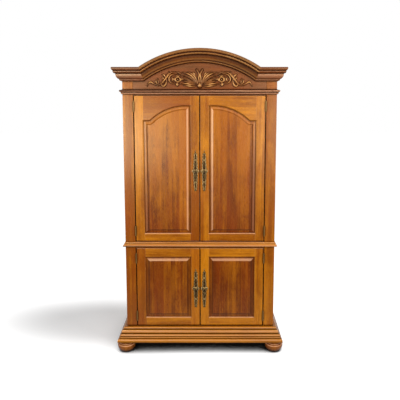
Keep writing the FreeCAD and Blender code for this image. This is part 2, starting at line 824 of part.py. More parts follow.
# ---------------------------------------------------------------- all the pieces
def build():
    nodes = {}

    def pair(name, shape):
        nodes[name + "_right"] = shape
        nodes[name + "_left"] = mirrored(shape)

    pair("side_panel", side_panel())
    pair("face_stile", face_stile())
    nodes["frieze_board"] = frieze_board()
    nodes["waist_rail"] = frame_rail(waist_rail_bottom, waist_rail_top)
    nodes["bottom_rail"] = frame_rail(foot_height, base_top)
    nodes["top_panel"] = case_board(crown_bottom - board_thickness, crown_bottom)
    nodes["tv_deck"] = tv_deck()
    nodes["bottom_panel"] = case_board(base_top - board_thickness, base_top)
    upper_vent_z = waist_rail_top + upper_vent_lift + upper_vent_height / 2
    nodes["back_panel_upper"] = back_panel(
        deck_middle, case_top, upper_vent_width, upper_vent_height, upper_vent_z
    )
    lower_vent_z = base_top + lower_vent_lift + lower_vent_height / 2
    nodes["back_panel_lower"] = back_panel(
        foot_height, deck_middle, lower_vent_width, lower_vent_height, lower_vent_z
    )
    nodes["lower_shelf"] = lower_shelf()
    nodes["shelf_pins"] = shelf_pins()
    nodes["corner_blocks"] = corner_blocks()

    nodes["crown_arch"] = crown_arch()
    pair("crown_end", crown_end())
    nodes["necking_moulding"] = wrapped_moulding(necking_profile, necking_bottom)
    nodes["waist_moulding"] = wrapped_moulding(waist_profile, waist_moulding_bottom)
    nodes["base_moulding"] = front_moulding(base_profile, foot_height)
    nodes["base_returns"] = both_sides(return_moulding(base_profile, foot_height))
    pair("front_foot", foot(True))
    pair("rear_foot", foot(False))
    nodes["frieze_carving"] = carving()

    upper = DoorPlan(
        upper_door_bottom,
        upper_door_height,
        upper_bottom_rail_face,
        arch_rail_face_at_crest,
        arch_rail_face_at_shoulder,
    )
    lower = DoorPlan(lower_door_bottom, lower_door_height, lower_bottom_rail_face, lower_top_rail_face)
    fixed_leaves = []
    for level, plan in (("upper", upper), ("lower", lower)):
        frame = door_frame(plan)
        if level == "lower":
            frame["rails"] = Part.makeCompound([frame.pop("top_rail"), frame.pop("bottom_rail")])
        pieces = dict(frame)
        pieces["panel"] = panel(plan)
        pieces["door_hardware"] = door_hardware(plan)
        pieces["pull_plate"] = pull_plate(plan)
        pieces["pull_pendant"] = pendant(plan)
        for name, shape in pieces.items():
            nodes[level + "_right_" + name] = shape
            nodes[level + "_left_" + name] = mirrored(shape)
        fixed_leaves += [frame_leaf(z) for z in hinge_heights(plan)]
    fixed_leaves += [mirrored(leaf) for leaf in fixed_leaves]
    nodes["hinge_frame_leaves"] = Part.makeCompound(fixed_leaves)
    catches = [catch(frieze_bottom), catch(waist_rail_bottom)]
    nodes["door_catches"] = Part.makeCompound(catches + [mirrored(piece) for piece in catches])
    return nodes


os.makedirs("parts", exist_ok=True)
for node, shape in build().items():
    shape.exportStep("parts/" + node + ".step")
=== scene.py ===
import json
import math
import random
import re

import bpy
import numpy as np
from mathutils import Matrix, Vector

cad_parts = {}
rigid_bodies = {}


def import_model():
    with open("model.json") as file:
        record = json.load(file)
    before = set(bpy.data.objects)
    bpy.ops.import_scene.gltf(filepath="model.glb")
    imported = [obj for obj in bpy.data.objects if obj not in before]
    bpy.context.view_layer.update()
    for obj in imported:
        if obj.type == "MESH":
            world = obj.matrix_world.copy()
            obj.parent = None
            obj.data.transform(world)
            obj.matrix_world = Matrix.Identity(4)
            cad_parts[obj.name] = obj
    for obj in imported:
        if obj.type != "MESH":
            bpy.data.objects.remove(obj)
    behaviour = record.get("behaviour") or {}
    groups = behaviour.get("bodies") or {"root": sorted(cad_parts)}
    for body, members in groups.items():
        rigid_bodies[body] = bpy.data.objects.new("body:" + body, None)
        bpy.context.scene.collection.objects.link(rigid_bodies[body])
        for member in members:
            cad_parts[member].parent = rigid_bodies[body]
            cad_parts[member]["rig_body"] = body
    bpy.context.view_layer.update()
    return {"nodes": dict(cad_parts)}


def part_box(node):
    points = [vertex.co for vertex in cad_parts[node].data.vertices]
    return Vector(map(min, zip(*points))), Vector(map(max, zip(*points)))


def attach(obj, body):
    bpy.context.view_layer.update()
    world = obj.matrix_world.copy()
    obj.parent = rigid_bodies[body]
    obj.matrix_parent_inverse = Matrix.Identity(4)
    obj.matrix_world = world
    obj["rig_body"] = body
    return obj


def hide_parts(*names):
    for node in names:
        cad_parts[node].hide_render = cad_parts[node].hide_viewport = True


bl_info = {
    "name": "Television Armoire",
    "version": (1, 0, 0),
    "blender": (4, 5, 0),
    "location": "View3D > Sidebar > Armoire",
    "description": "Finishes a television armoire: its woods, mouldings, carving, drop pulls and studio",
    "category": "Object",
}

for leftover in list(bpy.data.objects):
    bpy.data.objects.remove(leftover)
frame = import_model()

MM = 0.001
SIDES = ("left", "right")
LEVELS = ("upper", "lower")

# ---------------------------------------------------------------- places read from the frame
door_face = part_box("upper_right_meeting_stile")[0].y
frieze_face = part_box("frieze_board")[0].y
necking_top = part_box("necking_moulding")[1].z
case_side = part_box("side_panel_right")[1].x

# ---------------------------------------------------------------- colours
HONEY = "#CE7E12"  # stained maple where the stain took lightly
AMBER = "#8C4600"  # where it took deeply
RUSSET = "#B6680E"  # the same two for the door panels
UMBER = "#682800"
WALNUT = "#70360A"  # the same two for the crown and frieze
CHESTNUT = "#441800"
CARVED_LIGHT = "#A05E28"  # the same two for the carving
CARVED_DARK = "#5C2E08"
GLAZE_AND_SHADE = "#300E00"  # brown glaze wiped into the recesses, and the colour of the painted shade in them, under beads and in gaps
SHEEN = "#FFE2B4"  # warm reflections of the lacquer
PAPER_SEEN = "#F4F4F4"  # the floor's paper to the eye
PAPER_BOUNCE = "#5C5A58"  # what the paper throws back at the armoire
PAPER_SHADE = "#282624"  # painted shadow on the paper close under the feet and the base
WHITE = "#FFFFFF"


def linear(hex_colour):
    """An sRGB hex colour as linear red, green, blue and alpha."""
    shares = [int(hex_colour[place : place + 2], 16) / 255 for place in (1, 3, 5)]
    return [s / 12.92 if s <= 0.04045 else ((s + 0.055) / 1.055) ** 2.4 for s in shares] + [1.0]


def colour_property(name, description, hex_colour):
    return bpy.props.FloatVectorProperty(
        name=name, description=description, subtype="COLOR", size=4, min=0, max=1, default=linear(hex_colour)
    )


def length_property(name, description, default):
    return bpy.props.FloatProperty(name=name, description=description, unit="LENGTH", min=0, default=default)


def share_property(name, description, default):
    return bpy.props.FloatProperty(
        name=name, description=description, subtype="FACTOR", min=0, max=1, default=default
    )


def power_property(name, description, default):
    return bpy.props.FloatProperty(name=name, description=description, unit="POWER", min=0, default=default)


# ---------------------------------------------------------------- sizes and colours a user would change
class ArmoireWoods(bpy.types.PropertyGroup):
    frame_light: colour_property("Frame, light", "Stiles and rails where the stain took lightly", HONEY)
    frame_dark: colour_property("Frame, dark", "Stiles and rails where the stain took deeply", AMBER)
    panel_light: colour_property("Panel, light", "Door panels where the stain took lightly", RUSSET)
    panel_dark: colour_property("Panel, dark", "Door panels where the stain took deeply", UMBER)
    crown_light: colour_property("Crown, light", "Crown and frieze where the stain took lightly", WALNUT)
    crown_dark: colour_property("Crown, dark", "Crown and frieze where the stain took deeply", CHESTNUT)
    # the glaze's colour also paints the shade in recesses, under beads and beside gaps
    glaze: colour_property("Glaze", "Brown glaze in the recesses", GLAZE_AND_SHADE)
    flush: colour_property("Flush", "Redder clouds in the stain", "#963E08")
    # the colour of painted highlights on crests and bevels, and of arrises worn by sanding
    rubbed: colour_property("Rubbed", "Crests where sanding took the stain off", "#F2B488")
    # the colour of painted highlights on the crests of the carving and the arch
    golden: colour_property("Golden", "Crests of the carving and the arch, under a golden toner", "#E2A55C")
    board_width: length_property("Board width", "Width of the boards glued up into a panel", 72 * MM)
    streak_width: length_property("Streak width", "Width of the grain's streaks", 24 * MM)
    streak_length: length_property("Streak length", "Length of the grain's streaks", 620 * MM)
    blotch_size: length_property("Blotch size", "Size of the stain's clouds", 95 * MM)
    ring_spacing: length_property("Ring spacing", "Distance between a flat-sawn board's rings", 75 * MM)
    # how far the darkening of a recess reaches: partly glaze left in it, partly painted shade
    glaze_and_shade_reach: length_property("Glaze reach", "How far the glaze reaches out of a recess", 16 * MM)
    # how far and how light an arris is lightened: partly sanding wear, partly painted highlight
    arris_rub_and_highlight_reach: length_property("Rub reach", "How far an arris is rubbed", 5 * MM)
    arris_rub_and_highlight: share_property("Rub strength", "How light an arris is rubbed", 0.1)
    # how dark a recess is darkened: partly glaze left in it, partly painted shade
    glaze_and_shade_strength: share_property("Glaze strength", "How dark the glaze is in a recess", 0.96)
    piece_contrast: share_property("Contrast of pieces", "How much two pieces of wood differ", 0.9)
    board_contrast: share_property("Contrast of boards", "How much two boards of a panel differ", 0.8)
    ring_contrast: share_property("Contrast of rings", "How dark the rings of a flat-sawn board are", 0.35)
    arris: length_property("Arris", "Width of the sanded edge of a piece", 0.7 * MM)


class ArmoireCarving(bpy.types.PropertyGroup):
    pitch: length_property("Pitch", "Distance between the points of the carved surface", 1.5 * MM)
    depth: length_property("Depth", "Height of the carving's ridges above the frieze", 8 * MM)


class ArmoirePulls(bpy.types.PropertyGroup):
    pitch: length_property("Pitch", "Distance between the points of the cast surface", 0.8 * MM)
    depth: length_property("Depth", "Height of the casting's ridges above the door", 3.4 * MM)
    brass: colour_property("Brass", "Rubbed high spots of the antiqued brass", "#C8A468")
    patina: colour_property("Patina", "Dark patina in the hollows of the brass", "#241808")


class ArmoireStage(bpy.types.PropertyGroup):
    camera_x: length_property("Camera, across", "Camera's distance right of the middle", 0.058)
    camera_distance: length_property("Camera distance", "Camera's distance in front of the doors", 2.946)
    camera_height: length_property("Camera height", "Camera's height above the floor", 1.751)
    camera_dip: bpy.props.FloatProperty(
        name="Camera dip",
        description="How far the camera looks down",
        subtype="ANGLE",
        default=math.radians(6.12),
    )
    lens: bpy.props.FloatProperty(
        name="Lens", description="Focal length", subtype="DISTANCE_CAMERA", min=1, default=37.6
    )
    key_power: power_property("Key light", "Power of the wide light above the camera", 20)
    right_power: power_property("Right window", "Power of the tall light on the right", 24)
    left_power: power_property("Left window", "Power of the tall light on the left", 32)
    near_power: power_property("Near light", "Power of the low light left of the camera", 14)
    side_power: power_property("Side light", "Power of the high light on the right", 36)
    daylight: share_property("Daylight", "Strength of the light from all round", 0.06)
    floor_lift: share_property("Floor lift", "Light that makes the floor white to the eye", 0.36)


# ---------------------------------------------------------------- materials
MIX_FACTOR, MIX_A, MIX_B, MIX_RESULT = 0, 6, 7, 2
QUARTER = math.radians(90)
# "side" is upright grain on a board that faces sideways
GRAIN_TURN = {"X": (0, QUARTER, 0), "Y": (QUARTER, 0, 0), "Z": (0, 0, 0), "side": (0, 0, QUARTER)}


def add_node(tree, kind, inputs=None, **settings):
    """Adds a node with its settings; an input's value is a number, a colour or a socket to link."""
    made = tree.nodes.new(kind)
    for name, value in settings.items():
        setattr(made, name, value)
    for socket, value in (inputs or {}).items():
        if isinstance(value, bpy.types.NodeSocket):
            tree.links.new(value, made.inputs[socket])
        else:
            made.inputs[socket].default_value = value
    return made


def new_material(name):
    material = bpy.data.materials.new(name)
    material.use_nodes = True
    tree = material.node_tree
    return material, tree, tree.nodes["Principled BSDF"]


WIDTH_RATE, WIDTH_SHARE = 2.3, 0.2  # how often and how much the glued boards differ in width
SEED_STEP = 57.0  # keeps the draws of two pieces apart
FIGURE_SHIFT = (7.0, 7.0, 7.0)  # how far, in metres, a figure moves with a whole step of tone
# how much each cloud deepens the stain
STREAK_GAIN, BLOTCH_GAIN, MOTTLE_GAIN, PORE_GAIN = 2.3, 1.5, 0.7, 0.4
MOTTLE_SIZE, PORE_SIZE = (11 * MM, 26 * MM), (2.4 * MM, 38 * MM)  # across and along the grain
RING_BOW = 22.0  # how steeply a ring arches across its board
RING_WANDER = 5.0  # how far the clouds push a ring, in ring spacings
RING_FADE = 3.0  # how late in its width a ring turns dark
FLUSH_SHARE, FLUSH_MOST = 0.3, 0.5  # how much a board's draw adds to its flush, and the most of it
GLAZE_AND_SHADE_LEFT = 0.5  # share of the recesses' glaze and painted shade that carving keeps, beside the glaze and painted shade on its low ground
LACQUER_GLOSS, GLAZE_AND_SHADE_GLOSS = 0.5, 0.08  # specular levels, of the lacquer and of the glaze and painted shade
LACQUER_ROUGHNESS = (0.22, 0.32)  # where the pores' noise is lowest and highest
PORE_BUMP, PORE_DEPTH = 0.12, 0.3 * MM  # strength and height of the bump that the pores make in it


def lacquered_maple(name, light, dark, grain, boards=False, carved=False, rubs=True, golden=False):
    """Hard maple under a wiping stain, a brown glaze and satin lacquer.

    The stain takes unevenly, so the eye sees soft streaks along the grain and cloudy blotches. Recesses are
    darkened, partly by glaze and partly as painted shade; arrises and crests are lightened, partly by sanding
    wear and partly as painted highlight; a painted shade by height is added; and the lacquer gives a warm
    sheen.
    """
    woods = bpy.context.scene.armoire_woods
    material, tree, shader = new_material(name)
    place = add_node(tree, "ShaderNodeTexCoord").outputs["Object"]
    turned = add_node(tree, "ShaderNodeMapping", {"Vector": place, "Rotation": GRAIN_TURN[grain]}).outputs[0]
    tone = add_node(tree, "ShaderNodeAttribute", attribute_name="tone").outputs["Fac"]

    # the glued boards of a panel differ in width, colour and figure
    column = tone
    if boards:
        across = add_node(tree, "ShaderNodeSeparateXYZ", {0: turned}).outputs["X"]
        column = add_node(
            tree, "ShaderNodeMath", {0: across, 1: 1 / woods.board_width, 2: tone}, operation="MULTIPLY_ADD"
        ).outputs[0]
        wave = add_node(tree, "ShaderNodeMath", {0: column, 1: WIDTH_RATE}, operation="MULTIPLY").outputs[0]
        wave = add_node(tree, "ShaderNodeMath", {0: wave}, operation="SINE").outputs[0]
        column = add_node(
            tree, "ShaderNodeMath", {0: wave, 1: WIDTH_SHARE, 2: column}, operation="MULTIPLY_ADD"
        ).outputs[0]
    board = add_node(tree, "ShaderNodeMath", {0: column}, operation="FLOOR").outputs[0]
    seed = add_node(
        tree, "ShaderNodeMath", {0: tone, 1: SEED_STEP, 2: board}, operation="MULTIPLY_ADD"
    ).outputs[0]
    draws = add_node(tree, "ShaderNodeTexWhiteNoise", {"W": seed}, noise_dimensions="1D").outputs["Color"]
    board_tone, board_flush, board_cut = add_node(tree, "ShaderNodeSeparateColor", {0: draws}).outputs[:3]
    shift = add_node(tree, "ShaderNodeCombineXYZ", {"Y": tone, "Z": board_tone}).outputs[0]
    moved = add_node(
        tree, "ShaderNodeVectorMath", {0: shift, 1: FIGURE_SHIFT, 2: turned}, operation="MULTIPLY_ADD"
    ).outputs[0]

    # maple's pores are finer than this: they are as coarse as they need to be to show
    clouds = {}
    for key, wide, long, detail, roughness, distortion in (
        ("streaks", woods.streak_width, woods.streak_length, 4.0, 0.6, 0.3),
        ("blotches", woods.blotch_size, 2.2 * woods.blotch_size, 2.0, 0.5, 0.6),
        ("mottle", *MOTTLE_SIZE, 2.0, 0.6, 0.5),
        ("pores", *PORE_SIZE, 2.0, 0.7, 0.0),
        ("flush", 0.6 * woods.blotch_size, 3.0 * woods.blotch_size, 1.0, 0.5, 0.0),
    ):
        scaled = add_node(
            tree, "ShaderNodeMapping", {"Vector": moved, "Scale": (1 / wide, 1 / wide, 1 / long)}
        ).outputs[0]
        settings = {"Scale": 1.0, "Detail": detail, "Roughness": roughness, "Distortion": distortion}
        clouds[key] = add_node(tree, "ShaderNodeTexNoise", {"Vector": scaled, **settings}).outputs["Fac"]

    shares = [
        (clouds["streaks"], STREAK_GAIN),
        (clouds["blotches"], BLOTCH_GAIN),
        (clouds["mottle"], MOTTLE_GAIN),
        (clouds["pores"], PORE_GAIN),
        (tone, woods.piece_contrast),
    ]
    if boards:
        shares.append((board_tone, woods.board_contrast))
        # rings of a flat-sawn board: arches that point up on some boards and down on others
        within = add_node(tree, "ShaderNodeMath", {0: column}, operation="FRACT").outputs[0]
        middle = add_node(tree, "ShaderNodeMath", {0: within, 1: 0.5}, operation="SUBTRACT").outputs[0]
        bow = add_node(tree, "ShaderNodeMath", {0: middle, 1: middle}, operation="MULTIPLY").outputs[0]
        side = add_node(tree, "ShaderNodeMath", {0: board_cut, 1: 0.5}, operation="GREATER_THAN").outputs[0]
        steep = add_node(
            tree, "ShaderNodeMath", {0: side, 1: 2 * RING_BOW, 2: -RING_BOW}, operation="MULTIPLY_ADD"
        ).outputs[0]
        arch = add_node(tree, "ShaderNodeMath", {0: bow, 1: steep}, operation="MULTIPLY").outputs[0]
        height = add_node(tree, "ShaderNodeSeparateXYZ", {0: moved}).outputs["Z"]
        climb = add_node(
            tree, "ShaderNodeMath", {0: height, 1: 1 / woods.ring_spacing, 2: arch}, operation="MULTIPLY_ADD"
        ).outputs[0]
        wander = add_node(
            tree,
            "ShaderNodeMath",
            {0: clouds["blotches"], 1: RING_WANDER, 2: climb},
            operation="MULTIPLY_ADD",
        ).outputs[0]
        ring_place = add_node(tree, "ShaderNodeMath", {0: wander}, operation="FRACT").outputs[0]
        late = add_node(tree, "ShaderNodeMath", {0: ring_place, 1: RING_FADE}, operation="POWER").outputs[0]
        shares.append((late, woods.ring_contrast))
    # painted light and shade by height, added to how deeply the piece is stained
    deeper = add_node(tree, "ShaderNodeAttribute", attribute_name="deeper").outputs["Fac"]
    # a piece whose clouds are all at their middle is stained half way
    depth = sum(gain for source, gain in shares) / -2 + 0.5
    depth = add_node(tree, "ShaderNodeMath", {0: deeper, 1: depth}, operation="ADD").outputs[0]
    for source, gain in shares:
        depth = add_node(
            tree, "ShaderNodeMath", {0: source, 1: gain, 2: depth}, operation="MULTIPLY_ADD"
        ).outputs[0]
    depth = add_node(tree, "ShaderNodeClamp", {"Value": depth, "Min": 0.0, "Max": 1.0}).outputs[0]
    stain = add_node(
        tree, "ShaderNodeMix", {MIX_FACTOR: depth, MIX_A: light, MIX_B: dark}, data_type="RGBA"
    ).outputs[MIX_RESULT]
    flushed = add_node(
        tree, "ShaderNodeMath", {0: board_flush, 1: FLUSH_SHARE, 2: clouds["flush"]}, operation="MULTIPLY_ADD"
    ).outputs[0]
    flushed = add_node(
        tree,
        "ShaderNodeMapRange",
        {"Value": flushed, "From Min": 0.55, "From Max": 0.95, "To Max": FLUSH_MOST},
    ).outputs[0]
    stain = add_node(
        tree, "ShaderNodeMix", {MIX_FACTOR: flushed, MIX_A: stain, MIX_B: woods.flush}, data_type="RGBA"
    ).outputs[MIX_RESULT]

    # an arris has little wood behind it, and is lightened: partly as sanding wear, partly as a painted
    # highlight
    rub_and_highlight_colour = woods.golden if golden else woods.rubbed
    rub = woods.arris_rub_and_highlight * rubs
    backing = add_node(
        tree, "ShaderNodeAmbientOcclusion", {"Distance": woods.arris_rub_and_highlight_reach}, samples=8, inside=True
    ).outputs["AO"]
    rubbed = add_node(
        tree,
        "ShaderNodeMapRange",
        {"Value": backing, "From Min": 0.45, "From Max": 0.9, "To Min": rub, "To Max": 0.0},
    ).outputs[0]
    # painted highlights on crests and bevels, from the faces' paint
    crest = add_node(tree, "ShaderNodeAttribute", attribute_name="rub").outputs["Fac"]
    uneven = add_node(
        tree,
        "ShaderNodeMapRange",
        {"Value": clouds["mottle"], "From Min": 0.3, "From Max": 0.6, "To Min": 0.75},
    ).outputs[0]
    crest = add_node(tree, "ShaderNodeMath", {0: crest, 1: uneven}, operation="MULTIPLY").outputs[0]
    rubbed = add_node(tree, "ShaderNodeMath", {0: rubbed, 1: crest}, operation="MAXIMUM").outputs[0]
    stain = add_node(
        tree, "ShaderNodeMix", {MIX_FACTOR: rubbed, MIX_A: stain, MIX_B: rub_and_highlight_colour}, data_type="RGBA"
    ).outputs[MIX_RESULT]

    # recesses darkened toward the glaze colour by ambient occlusion: partly glaze left in them, partly
    # painted shade
    hollow = add_node(
        tree, "ShaderNodeAmbientOcclusion", {"Distance": woods.glaze_and_shade_reach}, samples=8
    ).outputs["AO"]
    glazed_and_shaded = add_node(
        tree,
        "ShaderNodeMapRange",
        {"Value": hollow, "From Min": 0.55, "From Max": 0.97, "To Min": woods.glaze_and_shade_strength, "To Max": 0.0},
    ).outputs[0]
    # a painted highlight clears the darkening under it
    wiped = add_node(tree, "ShaderNodeMath", {0: 1.0, 1: crest}, operation="SUBTRACT").outputs[0]
    glazed_and_shaded = add_node(tree, "ShaderNodeMath", {0: glazed_and_shaded, 1: wiped}, operation="MULTIPLY").outputs[0]
    # painted shade under beads, in gaps and at steps, from the faces' paint
    lined = add_node(tree, "ShaderNodeAttribute", attribute_name="glaze").outputs["Fac"]
    glazed_and_shaded = add_node(tree, "ShaderNodeMath", {0: glazed_and_shaded, 1: lined}, operation="MAXIMUM").outputs[0]
    if carved:
        # the carving's low ground is darkened: partly glaze, partly painted shade between its strands
        relief = add_node(tree, "ShaderNodeAttribute", attribute_name="relief").outputs["Fac"]
        low = add_node(
            tree,
            "ShaderNodeMapRange",
            {"Value": relief, "From Min": 0.5, "From Max": 0.92, "To Min": 1.0, "To Max": 0.0},
        ).outputs[0]
        part = add_node(tree, "ShaderNodeMath", {0: glazed_and_shaded, 1: GLAZE_AND_SHADE_LEFT}, operation="MULTIPLY").outputs[0]
        glazed_and_shaded = add_node(tree, "ShaderNodeMath", {0: part, 1: low}, operation="MAXIMUM").outputs[0]
    finish = add_node(
        tree, "ShaderNodeMix", {MIX_FACTOR: glazed_and_shaded, MIX_A: stain, MIX_B: woods.glaze}, data_type="RGBA"
    ).outputs[MIX_RESULT]
    tree.links.new(finish, shader.inputs["Base Color"])
    # The glaze and painted shade in the recesses are matt, so that they stay dark. An export drops this link,
    # and there the recesses keep the lacquer's gloss.
    gloss = add_node(
        tree, "ShaderNodeMapRange", {"Value": glazed_and_shaded, "To Min": LACQUER_GLOSS, "To Max": GLAZE_AND_SHADE_GLOSS}
    ).outputs[0]
    tree.links.new(gloss, shader.inputs["Specular IOR Level"])

    smoothest, roughest = LACQUER_ROUGHNESS
    rough = add_node(
        tree,
        "ShaderNodeMapRange",
        {"Value": clouds["pores"], "From Min": 0.3, "From Max": 0.7, "To Min": smoothest, "To Max": roughest},
    ).outputs[0]
    tree.links.new(rough, shader.inputs["Roughness"])
    texture = add_node(
        tree, "ShaderNodeBump", {"Height": clouds["pores"], "Strength": PORE_BUMP, "Distance": PORE_DEPTH}
    ).outputs[0]
    tree.links.new(texture, shader.inputs["Normal"])
    shader.inputs["Specular Tint"].default_value = linear(SHEEN)
    return material


BRASS_CLOUD = 6 * MM  # size of the patina's clouds
BRASS_OPEN = 4 * MM  # what is nearer than this shades a place, where more of the patina then stays
BRASS_METAL = 0.85  # the rest is patina and wax
BRASS_ROUGHNESS = (0.55, 0.3)  # where patina stays, and where it is rubbed off


def antiqued_brass(name):
    """Cast brass, darkened by a brown-black patina, rubbed back on the high spots and waxed.

    The eye sees soft golden crests with a broad shine, and nearly black, dull hollows between them.
    """
    pulls = bpy.context.scene.armoire_pulls
    material, tree, shader = new_material(name)
    place = add_node(tree, "ShaderNodeTexCoord").outputs["Object"]
    relief = add_node(tree, "ShaderNodeAttribute", attribute_name="relief").outputs["Fac"]
    cloud = add_node(
        tree,
        "ShaderNodeTexNoise",
        {"Vector": place, "Scale": 1 / BRASS_CLOUD, "Detail": 3.0, "Roughness": 0.6},
    ).outputs["Fac"]
    rubbed = add_node(
        tree, "ShaderNodeMath", {0: cloud, 1: 0.6, 2: relief}, operation="MULTIPLY_ADD"
    ).outputs[0]
    open_air = add_node(tree, "ShaderNodeAmbientOcclusion", {"Distance": BRASS_OPEN}, samples=8).outputs["AO"]
    rubbed = add_node(tree, "ShaderNodeMath", {0: rubbed, 1: open_air}, operation="MULTIPLY").outputs[0]
    factor = add_node(
        tree, "ShaderNodeMapRange", {"Value": rubbed, "From Min": 0.9, "From Max": 1.25}
    ).outputs[0]
    colour = add_node(
        tree, "ShaderNodeMix", {MIX_FACTOR: factor, MIX_A: pulls.patina, MIX_B: pulls.brass}, data_type="RGBA"
    ).outputs[MIX_RESULT]
    tree.links.new(colour, shader.inputs["Base Color"])
    dull, bright = BRASS_ROUGHNESS
    rough = add_node(
        tree, "ShaderNodeMapRange", {"Value": factor, "To Min": dull, "To Max": bright}
    ).outputs[0]
    tree.links.new(rough, shader.inputs["Roughness"])
    shader.inputs["Metallic"].default_value = BRASS_METAL
    return material


# colour, roughness, metallic and size of the clouds
PLAIN_FINISHES = {
    # stamped steel, brass plated and toned brown: a dull old gold with darker clouds
    "bronzed_hinge": ("#8A6A3C", 0.4, 0.9, 14 * MM),
    # moulded ABS: an even dark brown with a soft sheen
    "catch_plastic": ("#2A1A10", 0.5, 0.0, 4 * MM),
    # turned steel, zinc plated: a cool, slightly cloudy grey shine
    "zinc_steel": ("#B4B4B0", 0.35, 1.0, 8 * MM),
    # pressed wood fibre, left raw: a flat brown, finely mottled
    "hardboard": ("#7A5230", 0.75, 0.0, 5 * MM),
    # sawn pine, left raw: pale and matt, with soft clouds
    "raw_pine": ("#C8A070", 0.7, 0.0, 12 * MM),
}
CLOUD_SHARE = 0.7  # how bright the darkest clouds of a plain finish are
ROUGHNESS_SPREAD = 0.08  # how far its roughness goes to either side


def plain_finish(name, hex_colour, roughness, metallic, speckle):
    """A plain surface with a slight cloudy unevenness in its colour and gloss."""
    material, tree, shader = new_material(name)
    place = add_node(tree, "ShaderNodeTexCoord").outputs["Object"]
    cloud = add_node(
        tree, "ShaderNodeTexNoise", {"Vector": place, "Scale": 1 / speckle, "Detail": 4.0, "Roughness": 0.65}
    ).outputs["Fac"]
    base = linear(hex_colour)
    darker = [CLOUD_SHARE * share for share in base[:3]] + [1.0]
    colour = add_node(
        tree, "ShaderNodeMix", {MIX_FACTOR: cloud, MIX_A: darker, MIX_B: base}, data_type="RGBA"
    ).outputs[MIX_RESULT]
    tree.links.new(colour, shader.inputs["Base Color"])
    rough = add_node(
        tree,
        "ShaderNodeMapRange",
        {"Value": cloud, "To Min": roughness - ROUGHNESS_SPREAD, "To Max": roughness + ROUGHNESS_SPREAD},
    ).outputs[0]
    tree.links.new(rough, shader.inputs["Roughness"])
    shader.inputs["Metallic"].default_value = metallic
    return material


def shared(name, maker, *arguments, **options):
    """The material of that name, made the first time that it is asked for."""
    found = bpy.data.materials.get(name)
    return found or maker(name, *arguments, **options)


def frame_wood(grain):
    """Solid maple of the case's frame, the doors' stiles and rails, and the lower mouldings."""
    woods = bpy.context.scene.armoire_woods
    return shared("frame_maple_" + grain, lacquered_maple, woods.frame_light, woods.frame_dark, grain)


def panel_wood():
    """Flat-sawn maple boards, glued edge to edge and stained darker than the frame."""
    woods = bpy.context.scene.armoire_woods
    return shared("panel_maple", lacquered_maple, woods.panel_light, woods.panel_dark, "Z", boards=True)


def side_wood():
    """Maple veneer laid in leaves side by side, in the frame's colours."""
    woods = bpy.context.scene.armoire_woods
    return shared("side_veneer", lacquered_maple, woods.frame_light, woods.frame_dark, "side", boards=True)


def crown_wood(grain, golden=False):
    """The darkest maple, of the crown, frieze and necking, with painted golden highlights on the arch's
    crests.
    """
    woods = bpy.context.scene.armoire_woods
    name = ("golden_maple_" if golden else "crown_maple_") + grain
    return shared(
        name, lacquered_maple, woods.crown_light, woods.crown_dark, grain, rubs=False, golden=golden
    )


# ---------------------------------------------------------------- meshes
WELD = 0.002 * MM  # corners nearer than this are one
CUT = 0.001 * MM  # corners nearer than this to a cut lie on it
FLAT_TURN = math.radians(0.4)  # faces that turn by less are one flat face
EASED_TURN = math.radians(28)  # edges that turn by more are sharp and sanded, and by less shaded round
HOLLOW_TURN = math.radians(9)  # shades the facets of a panel's hollow bevel round
CARVED_TURN = math.radians(70)  # shades carving and casting round

# How dark each piece is stained: 0 is light and 1 is dark, and a few pieces go a little past either. They
# differ as pieces of wood do, and also by painted light: the lower doors are set darker for the light's
# fall-off downward, and the base and waist mouldings lighter for the light on their upward faces. A piece
# that isn't here draws its own by its name.
FOOT_TONE, CARVING_TONE = 0.95, 0.4
TONES = {
    "face_stile_left": 0.7,
    "face_stile_right": 1.2,
    "upper_left_hinge_stile": 0.25,
    "upper_left_meeting_stile": 0.65,
    "upper_left_top_rail": 0.85,
    "upper_left_bottom_rail": 0.4,
    "upper_left_panel": -0.15,
    "upper_right_hinge_stile": 0.4,
    "upper_right_meeting_stile": 0.35,
    "upper_right_top_rail": 0.45,
    "upper_right_panel": 0.22,
    "lower_left_hinge_stile": 0.9,
    "lower_left_rails": 0.6,
    "lower_right_rails": 0.5,
    "lower_left_panel": 0.78,
    "lower_right_hinge_stile": 0.5,
    "lower_right_panel": 0.95,
    "base_moulding": 0.05,
    "base_returns": 0.05,
    "waist_moulding": 0.05,
}
# Painted light and shade by height, for the light's fall-off down the armoire: how much deeper the stain is
# painted at the top of the necking, and how much it deepens per metre below that. The first pattern that fits
# a piece's whole name holds.
HEIGHT_SHADING = {
    "upper_left_panel": (-0.23, 1.08),
    "upper_right_panel": (0.0, 0.95),
    "upper_.*_stile": (0.0, 0.3),
    "upper_.*_top_rail": (0.0, 0.25),
    "upper_left_bottom_rail": (0.0, 0.1),
    "upper_right_bottom_rail": (0.0, -0.15),
    "lower_.*_rails": (0.0, -0.12),
    "frieze_board": (-0.2, 0.0),
    "lower_right_hinge_stile": (0.0, -0.1),
    "face_stile_left": (0.0, 0.26),
    "face_stile_right": (0.0, -0.45),
}


def select_only(piece):
    """Selects a piece and nothing else, and makes it the active one."""
    bpy.ops.object.select_all(action="DESELECT")
    piece.select_set(True)
    bpy.context.view_layer.objects.active = piece


def open_welded(piece):
    """Opens a copy of a solid for editing, all selected, with its loose triangles joined."""
    select_only(piece)
    bpy.ops.object.mode_set(mode="EDIT")
    bpy.ops.mesh.select_all(action="SELECT")
    bpy.ops.mesh.remove_doubles(threshold=WELD, use_sharp_edge_from_normals=True)
    bpy.ops.mesh.customdata_custom_splitnormals_clear()


def corner_places(piece):
    """The places of a piece's corners, one row each."""
    places = np.empty(len(piece.data.vertices) * 3, np.float32)
    piece.data.vertices.foreach_get("co", places)
    return places.reshape(-1, 3)


